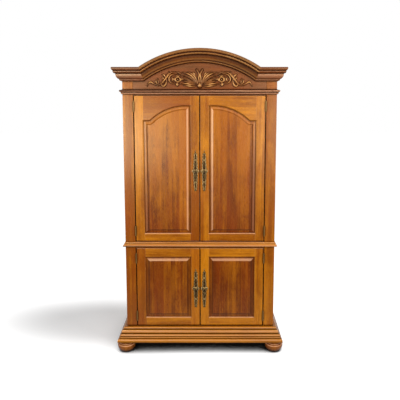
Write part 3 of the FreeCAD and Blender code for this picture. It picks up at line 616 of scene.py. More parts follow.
def paint(piece, layer, values):
    """Paints each corner with its value, or all of them with the one given."""
    values = np.broadcast_to(np.asarray(values, np.float32), (len(piece.data.vertices),))
    attribute = piece.data.attributes.new(layer, "FLOAT", "POINT")
    attribute.data.foreach_set("value", np.ascontiguousarray(values))


def finished_copy(node, materials, arris=0.0, smooth=None, tone=None):
    """A copy of a solid whose sharp edges are sanded and whose curves are smooth, and which stands for it.

    Edges that turn by less than smooth, an angle, are shaded round. Without one, the solid's own are.
    """
    source = frame["nodes"][node]
    piece = source.copy()
    piece.data = source.data.copy()
    piece.name = node + "_finished"
    for key in list(piece.keys()):
        del piece[key]
    bpy.context.scene.collection.objects.link(piece)
    piece.parent = None
    open_welded(piece)
    if arris:
        bpy.ops.mesh.dissolve_limited(angle_limit=FLAT_TURN)
    bpy.ops.object.mode_set(mode="OBJECT")
    if smooth:
        bpy.ops.object.shade_smooth_by_angle(angle=smooth)
    if arris:
        bevel = piece.modifiers.new("arris", "BEVEL")
        bevel.width = arris
        bevel.segments = 2
        bevel.limit_method = "ANGLE"
        bevel.angle_limit = EASED_TURN
        bevel.harden_normals = True
        bpy.ops.object.modifier_apply(modifier=bevel.name)
    piece.data.materials.clear()
    for material in materials:
        piece.data.materials.append(material)
    if tone is None:
        tone = TONES.get(node, random.Random(node).random())
    paint(piece, "tone", tone)
    # painted light and shade by height
    start, growth = next((pair for name, pair in HEIGHT_SHADING.items() if re.fullmatch(name, node)), (0, 0))
    paint(piece, "deeper", [start + growth * (necking_top - corner.co.z) for corner in piece.data.vertices])
    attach(piece, source["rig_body"])
    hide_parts(node)
    return piece


def eased_copy(node, grain):
    """A finished copy in the frame's wood with its arrises eased."""
    return finished_copy(node, [frame_wood(grain)], bpy.context.scene.armoire_woods.arris, EASED_TURN)


def paint_faces(piece, shade):
    """Paints each face by shade(face): above 0 a painted highlight lightens it, below 0 painted shade darkens
    it toward the glaze colour.
    """
    shades = np.array([shade(face) for face in piece.data.polygons], np.float32)
    for layer, values in (("rub", shades), ("glaze", -shades)):
        attribute = piece.data.attributes.new(layer, "FLOAT", "FACE")
        attribute.data.foreach_set("value", np.clip(values, 0, 1))


# painted highlight (above 0) and painted shade (below 0) on a panel's hollow bevel, where its facets would
# catch or miss the lamps, facet by facet from the field outward
BEVEL_SHADES = {
    ("upper", "inner"): (0.5, 0.55, 0.1, -0.5, -0.6),
    ("upper", "outer"): (-0.75, 0.05, 0.15, 0.15, -0.4),
    ("upper", "top"): (-0.4, 0.0, 0.1, 0.0, -0.4),
    ("upper", "bottom"): (-0.5, -0.2, -0.1, 0.0, 0.0),
    ("lower", "inner"): (-0.5, -0.35, -0.3, -0.3, -0.4),
    ("lower", "outer"): (-0.6, -0.45, -0.4, -0.3, -0.5),
    ("lower", "top"): (0.45, 0.55, 0.5, 0.2, -0.4),
    ("lower", "bottom"): (-0.5, -0.3, -0.2, -0.2, -0.2),
}
FACET_SLOPES = (0.314, 0.241, 0.163, 0.082)  # between one facet and the next
FIELD_SLOPE, STEP_SLOPE = 0.02, 0.5  # the flat field slopes less, and the step round it more
BACKWARD = 0.1  # faces that point back by more are the panel's back
UPRIGHT_LEAN = 0.5  # a bevel that leans up or down by more than this share of its sideways lean is an end's
# painted shade on the step round a panel's raised field
STEP_SHADE = -0.6


def shade_panel(piece, level, side):
    """Paints highlight and shade on the raised panel's step, and on its hollow bevel by side and facet."""
    outward = 1 if side == "right" else -1

    def shade(face):
        across, forward, up = face.normal
        slope = math.hypot(across, up)
        if slope < FIELD_SLOPE or forward > BACKWARD:
            return 0
        if slope > STEP_SLOPE:
            return STEP_SHADE
        if abs(up) > UPRIGHT_LEAN * abs(across):
            way = "top" if up > 0 else "bottom"
        else:
            way = "outer" if across * outward > 0 else "inner"
        facet = sum(slope < limit for limit in FACET_SLOPES)
        return BEVEL_SHADES[level, way][facet]

    paint_faces(piece, shade)


LIP_SHADE, EAVE_SHADE = 0.55, -0.5  # painted highlight on rounded edges that face up, and painted shade on those that face down
GAP_SHADE, PANEL_SIDE_SHADE = -0.9, 0.05  # painted shade on rounded edges beside a gap, and a faint painted highlight on those beside a panel
JOINT_SHADE = -0.2  # slight painted shade on rounded edges where a rail meets a stile
JOINT_SHARE = 0.3  # a joint is shorter than this share of its stile, and a panel's side is longer
ROUNDED = (-0.97, -0.08)  # how far a rounded edge's faces point to the front, between front and side


def shade_edges(piece, inward=0, outward=0):
    """Paints highlight on the rounded edges that face up, shade on those that face down, and a given shade on
    those at the sides.

    Edges that face the armoire's middle get the shade inward, and those that face away from it outward.
    """
    heights = [corner.co.z for corner in piece.data.vertices]
    short = JOINT_SHARE * (max(heights) - min(heights))

    def shade(face):
        across, forward, up = face.normal
        if not ROUNDED[0] <= forward <= ROUNDED[1]:
            return 0
        if abs(up) > abs(across):
            return LIP_SHADE if up > 0 else EAVE_SHADE
        beside = outward if across * face.center.x > 0 else inward
        length = np.ptp([heights[index] for index in face.vertices])
        return JOINT_SHADE if beside == PANEL_SIDE_SHADE and length < short else beside

    paint_faces(piece, shade)


# painted highlight (above 0) and painted shade (below 0) up a moulding, light where light from above falls
# and dark under beads, by height in mm above its foot
NECKING_SHADES = [
    (0, -1.0), (1.5, -1.0), (4, 0.1), (6, 0.5), (9, 0.6), (10.5, 0.1), (11.5, -1.0), (14.5, -1.0),
    (17.5, -0.9), (19.5, 0.2), (21, 0.7), (24.5, 0.7), (26.5, 0.0), (28, -0.8), (35, -1.0),
]
WAIST_SHADES = [
    (0, -0.9), (3.5, -0.9), (5, 0.24), (7, 0.48), (9.5, 0.48), (11.5, 0.3), (14, 0.27), (17, 0.06),
    (20, -0.3), (22, -0.6), (24, -0.3), (26, 0.36), (29, 0.39), (30.5, 0.12), (32, -0.4),
]
BASE_SHADES = [
    (0, -0.7), (5, -0.4), (10, -0.2), (14, 0.17), (20, 0.28), (23.5, 0.17), (26, -0.5), (29, -0.8),
    (31, -0.3), (32.5, 0.33), (35.5, 0.33), (37.5, -0.3), (39.5, -0.85), (42.5, -0.9), (44.5, 0.17),
    (47, 0.39), (52, 0.39), (54, 0.11), (56.5, -0.7), (59, -0.85), (63.5, -0.85), (65.5, 0.11), (68, 0.36),
    (77, 0.39), (80, 0.11), (83, -0.75), (87, -0.85), (88, -0.2), (90, 0.36), (95, 0.39), (98, 0.17),
    (101, -0.3),
]
# painted highlight (above 0) and painted shade (below 0) on the crown, by how far it stands out from the case
# in mm
CROWN_SHADES = [
    (0, -1.0), (10, -1.0), (11.5, -0.3), (14, 0.1), (16, 0.25), (17, 0.2), (18.5, -1.0), (24, -1.0),
    (25.5, -0.1), (29, 0.2), (34, 0.15), (36.5, -0.2), (38.3, -0.6), (38.6, -1.0), (47, -1.0), (49, -0.5),
    (51, 0.3), (53, 0.4), (53.4, -0.6), (53.5, -1.0), (57, -1.0), (58.5, -0.1), (60, 0.25), (62, 0.3),
    (63.2, 0.1),
]
# the same for its straight ends, whose broad ovolo gets a pale painted highlight
CROWN_END_SHADES = [
    (0, -0.9), (10, -0.9), (11.5, -0.3), (14, 0.1), (16, 0.3), (17, 0.2), (18.5, -0.85), (24, -0.9),
    (25.5, 0.0), (29, 0.12), (33, 0.2), (36, 0.3), (38.4, 0.3), (38.6, -0.9), (47, -0.9), (50, -0.8),
    (51.5, 0.0), (53, 0.1), (53.4, -0.5), (53.5, -0.85), (57, -0.85), (58.5, -0.2), (60, 0.05), (62, 0.08),
    (63.2, -0.2),
]


def shade_by_height(piece, shades):
    """Paints highlight and shade on a moulding's faces by their height above its foot."""
    foot = min(corner.co.z for corner in piece.data.vertices)
    heights, values = zip(*shades)
    paint_faces(piece, lambda face: np.interp((face.center.z - foot) / MM, heights, values))


def shade_by_reach(piece, shades):
    """Paints highlight and shade on the crown's faces by how far they stand out from the case, to the front
    or the side.
    """
    reaches, values = zip(*shades)

    def shade(face):
        reach = max(door_face - face.center.y, abs(face.center.x) - case_side)
        return np.interp(reach / MM, reaches, values)

    paint_faces(piece, shade)


FOOT_SHADE = 0.5  # painted highlight on the bun's shoulder, and painted shade under it
FOOT_SHOULDER = (0.35, 0.9)  # how far up the shoulder's faces point


def shade_foot(piece):
    """Paints highlight on a bun foot's shoulder and shade on its underside."""
    low, high = FOOT_SHOULDER

    def shade(face):
        up = face.normal.z
        return FOOT_SHADE if low < up < high else -FOOT_SHADE if up < -low else 0

    paint_faces(piece, shade)


def dress_returns(piece):
    """Gives the second material, whose grain runs front to back, to what lies past the mitres."""
    for face in piece.data.polygons:
        past_side = abs(face.center.x) - case_side
        before_front = door_face - face.center.y
        face.material_index = 1 if past_side > before_front else 0


# ---------------------------------------------------------------- relief for carving and casting
SUNK = -1.0  # height in mm where nothing stands, which is cut off behind the face
BACKING = 0.2 * MM  # how far behind the face a relief's flat back lies
# shares of a strand's height: in its flutes and what ridges add, then at its ends and what its middle adds
FLUTE_FLOOR, FLUTE_RISE = 0.72, 0.28
TIP_HEIGHT, MIDDLE_RISE = 0.72, 0.28


def smooth_path(points, steps=14):
    """Points along a smooth curve through the given ones."""
    ends = [points[0]] + list(points) + [points[-1]]
    knots = np.array(ends, float)
    line = []
    for index in range(1, len(knots) - 2):
        before, start, end, after = knots[index - 1 : index + 3]
        bend = 2 * before - 5 * start + 4 * end - after
        twist = 3 * start - before - 3 * end + after
        for t in np.linspace(0, 1, steps, endpoint=False):
            line.append(0.5 * (2 * start + (end - before) * t + bend * t**2 + twist * t**3))
    line.append(knots[-2])
    return np.array(line)


def dome(share):
    """Height of a round section at that share of its half width, below 0 past its edge."""
    round_top = 1 - share**2
    return np.sign(round_top) * np.sqrt(np.abs(round_top))


def strand(u, v, points, widths, height, flutes=0):
    """Height of a rounded strand that follows points; widths are at its root, middle and tip."""
    line = smooth_path(points)
    runs = np.hypot(*np.diff(line, axis=0).T)
    along = np.concatenate([[0], np.cumsum(runs)]) / runs.sum()
    reach = max(widths)
    result = np.full(u.shape, SUNK)
    near = (
        (u > line[:, 0].min() - reach)
        & (u < line[:, 0].max() + reach)
        & (v > line[:, 1].min() - reach)
        & (v < line[:, 1].max() + reach)
    )
    gaps = np.hypot(u[near][:, None] - line[:, 0], v[near][:, None] - line[:, 1])
    nearest = gaps.argmin(1)
    place = along[nearest]
    half = np.interp(place, (0, 0.5, 1), widths) / 2
    share = gaps[np.arange(len(nearest)), nearest] / half
    crest = dome(share)
    if flutes:
        fluted = crest * (FLUTE_FLOOR + FLUTE_RISE * np.sin(math.pi * flutes * share) ** 2)
        crest = np.where(crest > 0, fluted, crest)
    swell = TIP_HEIGHT + MIDDLE_RISE * np.sin(math.pi * place)
    result[near] = np.maximum(crest * height * swell, SUNK)
    return result


def bead(u, v, middle, radius, height):
    """Height of a round bead."""
    share = np.hypot(u - middle[0], v - middle[1]) / radius
    return np.maximum(dome(share) * height, SUNK)


def ring(u, v, middle, radius, band, height):
    """Height of a ring with a rounded band, whose middle line has that radius."""
    share = np.abs(np.hypot(u - middle[0], v - middle[1]) - radius) / (band / 2)
    return np.maximum(dome(share) * height, SUNK)


def relief_piece(name, middle_x, face_y, middle_z, size, pitch, depth, heights, crests=None):
    """A closed piece whose front is raised by heights(u, v), in mm, before the plane face_y.

    Its flat back lies just behind that plane. Its relief attribute is crests(u, v), or else its height as a
    share of depth.
    """
    columns, rows = round(size[0] / pitch), round(size[1] / pitch)
    bpy.ops.object.select_all(action="DESELECT")
    bpy.ops.mesh.primitive_grid_add(
        x_subdivisions=columns,
        y_subdivisions=rows,
        size=1,
        location=(middle_x, face_y, middle_z),
        rotation=(QUARTER, 0, 0),
    )
    piece = bpy.context.object
    piece.name = name
    piece.scale = (size[0], size[1], 1)
    bpy.ops.object.transform_apply(location=True, rotation=True, scale=True)
    points = corner_places(piece)
    u = (points[:, 0] - middle_x) / MM
    v = (points[:, 2] - middle_z) / MM
    points[:, 1] = face_y - heights(u, v) * MM
    piece.data.vertices.foreach_set("co", points.ravel())
    piece.data.update()
    select_only(piece)
    bpy.ops.object.mode_set(mode="EDIT")
    bpy.ops.mesh.select_all(action="SELECT")
    bpy.ops.mesh.bisect(plane_co=(0, face_y, 0), plane_no=(0, 1, 0), clear_outer=True, threshold=CUT)
    bpy.ops.mesh.select_all(action="SELECT")
    bpy.ops.mesh.extrude_region_move(TRANSFORM_OT_translate={"value": (0, BACKING, 0)})
    bpy.ops.transform.resize(value=(1, 0, 1), center_override=(middle_x, face_y + BACKING, middle_z))
    bpy.ops.mesh.select_all(action="SELECT")
    bpy.ops.mesh.normals_make_consistent(inside=False)
    bpy.ops.object.mode_set(mode="OBJECT")
    bpy.ops.object.shade_smooth_by_angle(angle=CARVED_TURN)
    points = corner_places(piece)
    relief = np.clip((face_y - points[:, 1]) / depth, 0, 1)
    if crests:
        relief = crests((points[:, 0] - middle_x) / MM, (points[:, 2] - middle_z) / MM)
    paint(piece, "relief", relief)
    return piece


# Strands of the frieze's acanthus, right half, in mm from the middle and above the necking: the points they
# follow, their widths at root, middle and tip, their height, and their flutes.
FRIEZE_STRANDS = [
    ([(15, 36), (11, 58), (7, 80), (3, 98), (9, 116), (20, 134)], (6, 8, 11), 8.5, 0),
    ([(0, 40), (0, 62), (0, 88)], (10, 17, 3), 6.0, 1),
    ([(13, 40), (22, 63), (33, 86), (51, 104), (73, 116), (86, 118)], (7, 9, 4), 7.5, 0),
    ([(30, 92), (36, 106), (46, 112), (44, 103)], (5, 8, 5), 5.5, 0),
    ([(18, 42), (33, 66), (52, 88), (74, 103), (98, 112), (122, 117)], (7, 10, 4), 8.0, 0),
    ([(23, 42), (41, 60), (62, 78), (86, 90), (106, 94), (112, 88)], (7, 11, 6), 7.5, 1),
    ([(32, 44), (58, 55), (84, 68), (108, 73), (122, 74)], (7, 11, 4), 7.0, 1),
    ([(36, 38), (58, 46), (80, 52), (100, 55), (116, 57)], (8, 13, 5), 7.5, 1),
    ([(34, 30), (61, 33), (84, 38), (108, 39), (132, 37)], (7, 10, 4), 6.5, 0),
    ([(30, 22), (52, 19), (74, 23), (96, 26), (116, 27)], (6, 9, 3), 5.5, 0),
    ([(134, 96), (146, 90), (158, 92), (170, 86)], (5, 8, 5), 6.0, 0),
    ([(124, 92), (132, 106), (148, 116), (170, 118)], (4, 8, 5), 6.0, 1),
    ([(150, 88), (138, 76), (131, 66), (138, 56), (150, 48)], (7, 9, 7), 6.5, 0),
    ([(152, 88), (165, 78), (172, 68), (166, 56), (154, 48)], (7, 9, 7), 7.0, 0),
    ([(150, 50), (156, 40), (160, 32), (152, 28), (146, 36)], (8, 10, 8), 7.5, 0),
    ([(134, 62), (122, 70), (112, 66)], (6, 8, 4), 5.0, 0),
    ([(150, 104), (172, 106), (196, 99), (212, 80), (210, 56), (192, 42), (168, 42)], (6, 8, 7), 8.0, 0),
    ([(196, 84), (186, 74), (188, 60), (198, 56)], (5, 9, 4), 5.0, 0),
    ([(180, 84), (174, 74), (178, 60)], (4, 7, 4), 4.5, 0),
    (
        [(160, 112), (184, 117), (204, 110), (222, 92), (240, 70), (262, 44), (282, 30), (304, 30)],
        (7, 10, 8),
        8.0,
        0,
    ),
    ([(304, 30), (322, 40), (340, 50), (354, 44), (366, 20)], (8, 9, 3), 7.0, 0),
    ([(240, 66), (228, 88), (218, 106), (213, 122)], (7, 13, 4), 7.5, 1),
    ([(236, 78), (242, 92), (252, 101), (262, 103)], (6, 10, 3), 6.0, 0),
    ([(246, 66), (254, 78), (262, 86)], (5, 8, 3), 5.0, 0),
    ([(232, 76), (230, 56), (236, 36), (250, 22), (264, 28), (262, 42), (250, 44)], (7, 10, 6), 7.0, 0),
    ([(286, 34), (302, 46), (302, 64), (296, 70)], (5, 7, 3), 5.0, 0),
    ([(286, 36), (288, 54), (291, 76)], (6, 10, 2), 6.0, 1),
]
# beads: middle, radius and height; rings: middle, radius, width of the band and height
FRIEZE_BEADS = [((0, 27), 21, 11.0), ((0, 36), 9, 12.5), ((152, 68), 6, 7.0), ((155, 33), 8, 7.5)]
FRIEZE_RINGS = [((152, 68), 15, 9, 8.0)]
FRIEZE_SIZE = (760, 150)  # the carving's width and height in mm
FRIEZE_SPREAD = 1.7  # how much wider the strands are cut than the widths given
RIDGE_START, RIDGE_HIGHLIGHT = 0.88, 0.85  # where a crest begins to get a painted highlight, and how strong that is at its top


def frieze_relief(u, v):
    """Heights of the carving, and how near each place is to its strand's crest, from 0 to 1."""
    half = np.abs(u)
    up = v + FRIEZE_SIZE[1] / 2
    height = np.full(u.shape, SUNK)
    crest = np.zeros(u.shape)
    cuts = []
    for points, widths, rise, flutes in FRIEZE_STRANDS:
        spread = [FRIEZE_SPREAD * width for width in widths]
        cuts.append((strand(half, up, points, spread, rise, flutes), rise))
    for middle, radius, band, rise in FRIEZE_RINGS:
        cuts.append((ring(half, up, middle, radius, band, rise), rise))
    for middle, radius, rise in FRIEZE_BEADS:
        cuts.append((bead(half, up, middle, radius, rise), rise))
    for cut, rise in cuts:
        crest = np.where(cut > height, cut / rise, crest)
        height = np.maximum(height, cut)
    return height, np.clip(crest, 0, 1)


def frieze_heights(u, v):
    return frieze_relief(u, v)[0]


def frieze_crests(u, v):
    return frieze_relief(u, v)[1]


# A pull's backplate, in mm from its middle. C-scrolls swing out from the spine in pairs: the height of each
# pair, how far it reaches and which way it curls, 1 for up and -1 for down. The strands, rings and beads are
# given as the frieze's are.
PLATE_SIZE = (56, 300)
PLATE_SCROLLS = [
    (22, 13, 1),
    (45, 13, 1),
    (68, 11, 1),
    (91, 10.5, 1),
    (113, 8.5, 1),
    (-22, 13.5, -1),
    (-45, 13, -1),
    (-68, 12, -1),
    (-91, 11, -1),
    (-112, 9, -1),
    (-129, 6.5, -1),
]
PLATE_STRANDS = [
    ([(0, 8), (0, 50), (0, 100), (0, 140)], (7, 5, 4), 2.8, 1),
    ([(0, -8), (0, -50), (0, -100), (0, -142)], (7, 5, 3), 2.8, 1),
    ([(6, 2), (13, 7), (20, 6), (24, 1), (21, -4), (16, -3), (17, 1)], (6, 6, 4), 3.6, 0),
    ([(5, -6), (12, -9), (18, -10), (20, -14)], (5, 5, 3), 3.0, 0),
    ([(4, 8), (9, 13), (15, 14), (18, 18)], (5, 5, 3), 3.0, 0),
]
PLATE_RINGS = [
    ((0, 79), 5.5, 3.4, 3.6),
    ((0, 126), 4.5, 3.0, 3.4),
    ((0, -80), 5.5, 3.4, 3.6),
    ((0, 0), 10.5, 3.6, 3.8),
]
PLATE_BEADS = [
    ((0, 0), 8, 7.0),
    ((0, 79), 2.6, 4.2),
    ((0, 126), 2.4, 4.0),
    ((0, -80), 2.6, 4.2),
    ((0, 143), 3.8, 3.4),
    ((0, -143), 3.0, 3.0),
]
WEB_HEIGHT, WEB_RISE = 1.2, 12.5  # the web's height, and half its length up the plate
HOLE_SIZE = (2.0, 3.6)  # half the width and length of its piercing
BOSS_SIZE = (13, 15)  # the same of the middle boss
SCROLL_WIDTHS, SCROLL_HEIGHT = (3.0, 5.0, 3.4), 3.4
LEAF_WIDTHS, LEAF_HEIGHT = (4.5, 4.0, 1.5), 2.8  # the leaf that springs from a scroll
CURL_RADIUS, CURL_HEIGHT = 2.6, 4.0  # the bead where a scroll reaches furthest


def plate_heights(u, v):
    """Heights of a backplate: its scrolls, each with a leaf and a bead, then its spine and middle."""
    half = np.abs(u)
    height = np.full(u.shape, SUNK)
    for middle, reach, turn in PLATE_SCROLLS:
        # a thin web behind each scroll, pierced beside the spine
        web = np.hypot(half / (reach - 1), (v - middle) / WEB_RISE) < 1
        hole = np.hypot((half - 0.52 * reach) / HOLE_SIZE[0], (v - middle + 2 * turn) / HOLE_SIZE[1]) < 1
        height = np.where(web & ~hole, np.maximum(height, WEB_HEIGHT), height)
        swing = [
            (1, middle - 12 * turn),
            (0.72 * reach, middle - 10 * turn),
            (reach, middle - 2 * turn),
            (0.86 * reach, middle + 6 * turn),
            (0.5 * reach, middle + 7 * turn),
            (0.45 * reach, middle + 3 * turn),
        ]
        height = np.maximum(height, strand(half, v, swing, SCROLL_WIDTHS, SCROLL_HEIGHT))
        leaf = [
            (0.7 * reach, middle + 5 * turn),
            (0.95 * reach, middle + 9 * turn),
            (reach + 2, middle + 13 * turn),
        ]
        height = np.maximum(height, strand(half, v, leaf, LEAF_WIDTHS, LEAF_HEIGHT))
        height = np.maximum(height, bead(half, v, (0.98 * reach, middle - turn), CURL_RADIUS, CURL_HEIGHT))
    boss = np.hypot(half / BOSS_SIZE[0], v / BOSS_SIZE[1]) < 1
    height = np.where(boss, np.maximum(height, WEB_HEIGHT), height)
    for points, widths, rise, flutes in PLATE_STRANDS:
        height = np.maximum(height, strand(half, v, points, widths, rise, flutes))
    for middle, radius, band, rise in PLATE_RINGS:
        height = np.maximum(height, ring(half, v, middle, radius, band, rise))
    for middle, radius, rise in PLATE_BEADS:
        height = np.maximum(height, bead(half, v, middle, radius, rise))
    return height


POST_FOOT = 5.6 * MM  # the post's foot in the middle boss is this far before the door
CAST_RELIEF = 0.62  # how far the plain castings are rubbed


def cast_plate(node, brass):
    """One backplate: the cast relief, with the post, ball and pin of the solid on it."""
    low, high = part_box(node)
    middle = (low + high) / 2
    size = [side * MM for side in PLATE_SIZE]
    pulls = bpy.context.scene.armoire_pulls
    piece = relief_piece(
        "backplate_pattern", middle.x, door_face, middle.z, size, pulls.pitch, pulls.depth, plate_heights
    )
    piece.data.materials.append(brass)

    source = frame["nodes"][node]
    post = bpy.data.objects.new("post_pattern", source.data.copy())
    bpy.context.scene.collection.objects.link(post)
    open_welded(post)
    bpy.ops.mesh.select_all(action="SELECT")
    bpy.ops.mesh.bisect(
        plane_co=(0, door_face - POST_FOOT, 0),
        plane_no=(0, 1, 0),
        clear_outer=True,
        use_fill=True,
        threshold=CUT,
    )
    bpy.ops.object.mode_set(mode="OBJECT")
    post.data.materials.clear()
    post.data.materials.append(brass)
    paint(post, "relief", CAST_RELIEF)
    select_only(piece)
    post.select_set(True)
    bpy.ops.object.join()
    return piece


# ---------------------------------------------------------------- operators
class ARMOIRE_OT_case(bpy.types.Operator):
    """Finish the case's frame, sides and boards"""

    bl_idname = "armoire.case"
    bl_label = "Case"

    def execute(self, context):
        for side in SIDES:
            shade_edges(eased_copy("face_stile_" + side, "Z"), GAP_SHADE)
            finished_copy("side_panel_" + side, [side_wood()])
        for rail in ("waist_rail", "bottom_rail"):
            shade_edges(eased_copy(rail, "X"))
        finished_copy("frieze_board", [crown_wood("X")])
        for board in ("top_panel", "tv_deck", "bottom_panel", "lower_shelf"):
            eased_copy(board, "X")
        return {"FINISHED"}


class ARMOIRE_OT_mouldings(bpy.types.Operator):
    """Finish the crown, necking, waist and base mouldings"""

    bl_idname = "armoire.mouldings"
    bl_label = "Mouldings"

    def execute(self, context):
        shade_by_reach(finished_copy("crown_arch", [crown_wood("X", golden=True)]), CROWN_SHADES)
        for side in SIDES:
            end = finished_copy("crown_end_" + side, [crown_wood("X"), crown_wood("Y")])
            dress_returns(end)
            shade_by_reach(end, CROWN_END_SHADES)
        necking = finished_copy("necking_moulding", [crown_wood("X"), crown_wood("Y")])
        dress_returns(necking)
        shade_by_height(necking, NECKING_SHADES)
        waist = finished_copy("waist_moulding", [frame_wood("X"), frame_wood("Y")])
        dress_returns(waist)
        shade_by_height(waist, WAIST_SHADES)
        shade_by_height(finished_copy("base_moulding", [frame_wood("X")]), BASE_SHADES)
        shade_by_height(finished_copy("base_returns", [frame_wood("Y")]), BASE_SHADES)
        return {"FINISHED"}


class ARMOIRE_OT_feet(bpy.types.Operator):
    """Finish the four turned bun feet"""

    bl_idname = "armoire.feet"
    bl_label = "Bun feet"

    def execute(self, context):
        for place in ("front", "rear"):
            for side in SIDES:
                shade_foot(finished_copy(f"{place}_foot_{side}", [frame_wood("Z")], tone=FOOT_TONE))
        return {"FINISHED"}


class ARMOIRE_OT_doors(bpy.types.Operator):
    """Finish the doors' stiles, rails and raised panels"""

    bl_idname = "armoire.doors"
    bl_label = "Doors"

    def execute(self, context):
        for side in SIDES:
            for level in LEVELS:
                door = f"{level}_{side}_"
                shade_edges(eased_copy(door + "meeting_stile", "Z"), GAP_SHADE, PANEL_SIDE_SHADE)
                shade_edges(eased_copy(door + "hinge_stile", "Z"), PANEL_SIDE_SHADE, GAP_SHADE)
                shade_panel(finished_copy(door + "panel", [panel_wood()], smooth=HOLLOW_TURN), level, side)
            for rail in (f"upper_{side}_bottom_rail", f"lower_{side}_rails"):
                shade_edges(eased_copy(rail, "X"), JOINT_SHADE, JOINT_SHADE)
            shade_edges(eased_copy(f"upper_{side}_top_rail", "X"))
        return {"FINISHED"}


class ARMOIRE_OT_carving(bpy.types.Operator):
    """Carve the frieze's acanthus"""

    bl_idname = "armoire.carving"
    bl_label = "Frieze carving"

    def execute(self, context):
        middle_z = necking_top + FRIEZE_SIZE[1] / 2 * MM
        size = [side * MM for side in FRIEZE_SIZE]
        cut = context.scene.armoire_carving
        piece = relief_piece(
            "acanthus_carving",
            0,
            frieze_face,
            middle_z,
            size,
            cut.pitch,
            cut.depth,
            frieze_heights,
            frieze_crests,
        )
        colours = linear(CARVED_LIGHT), linear(CARVED_DARK)
        wood = shared("carved_maple", lacquered_maple, *colours, "X", carved=True, golden=True)
        piece.data.materials.append(wood)
        paint(piece, "tone", CARVING_TONE)
        crests = np.empty(len(piece.data.vertices), np.float32)
        piece.data.attributes["relief"].data.foreach_get("value", crests)
        # painted highlight on the carving's crests
        paint(piece, "rub", RIDGE_HIGHLIGHT * np.clip((crests - RIDGE_START) / (1 - RIDGE_START), 0, 1))
        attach(piece, "case")
        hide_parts("frieze_carving")
        return {"FINISHED"}


class ARMOIRE_OT_pull_plates(bpy.types.Operator):
    """Cast the pulls' pierced backplates, each with its post and ball"""

    bl_idname = "armoire.pull_plates"
    bl_label = "Pull backplates"

    def execute(self, context):
        brass = shared("antiqued_brass", antiqued_brass)
        pattern = cast_plate("upper_right_pull_plate", brass)
        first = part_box("upper_right_pull_plate")[0]
        for level in LEVELS:
            for side in SIDES:
                node = f"{level}_{side}_pull_plate"
                piece = pattern.copy()
                piece.data = pattern.data.copy()
                piece.name = node + "_cast"
                context.scene.collection.objects.link(piece)
                piece.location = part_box(node)[0] - first
                select_only(piece)
                bpy.ops.object.transform_apply(location=True, rotation=False, scale=False)
                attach(piece, f"{level}_{side}_door")
                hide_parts(node)
        bpy.data.objects.remove(pattern)
        return {"FINISHED"}


# pieces that keep their solid's shape, and their finish
PLAIN_PIECES = {
    "hinge_frame_leaves": "bronzed_hinge",
    "door_catches": "catch_plastic",
    "shelf_pins": "zinc_steel",
    "back_panel_upper": "hardboard",
    "back_panel_lower": "hardboard",
    "corner_blocks": "raw_pine",
}


class ARMOIRE_OT_hardware(bpy.types.Operator):
    """Finish the pendants, hinges, catches and shelf pins, and the raw backs and blocks"""

    bl_idname = "armoire.hardware"
    bl_label = "Hardware"

    def execute(self, context):
        brass = shared("antiqued_brass", antiqued_brass)
        finishes = dict(PLAIN_PIECES)
        for level in LEVELS:
            for side in SIDES:
                finishes[f"{level}_{side}_door_hardware"] = "bronzed_hinge"
                drop = finished_copy(f"{level}_{side}_pull_pendant", [brass])
                paint(drop, "relief", CAST_RELIEF)
        for node, name in finishes.items():
            mesh = frame["nodes"][node].data
            mesh.materials.clear()
            mesh.materials.append(shared(name, plain_finish, *PLAIN_FINISHES[name]))
        return {"FINISHED"}


def seen_by_eye(tree):
    """1 for rays that show a surface to the eye, straight, mirrored or through glass, and 0 for others."""
    rays = add_node(tree, "ShaderNodeLightPath").outputs
    seen = rays["Is Camera Ray"]
    for kind in ("Is Glossy Ray", "Is Transmission Ray"):
        seen = add_node(tree, "ShaderNodeMath", {0: seen, 1: rays[kind]}, operation="MAXIMUM").outputs[0]
    return seen


# where the paper is lifted less: its middle, turn and spread, and the lift as a share of the stage's; the
# first is a painted shadow
PAPER_SHADES = (
    ((-0.75, 0.12, 0), math.radians(-4), (1.36, 0.6, 1), 1.0),  # painted soft shadow left of the armoire
    ((0.0, -2.4, 0), 0.0, (2.2, 2.0, 1), 0.15),  # under the lamps, which light it
)
CONTACT_REACH = 0.4  # how far from the armoire, in metres, the painted shadow on the paper begins


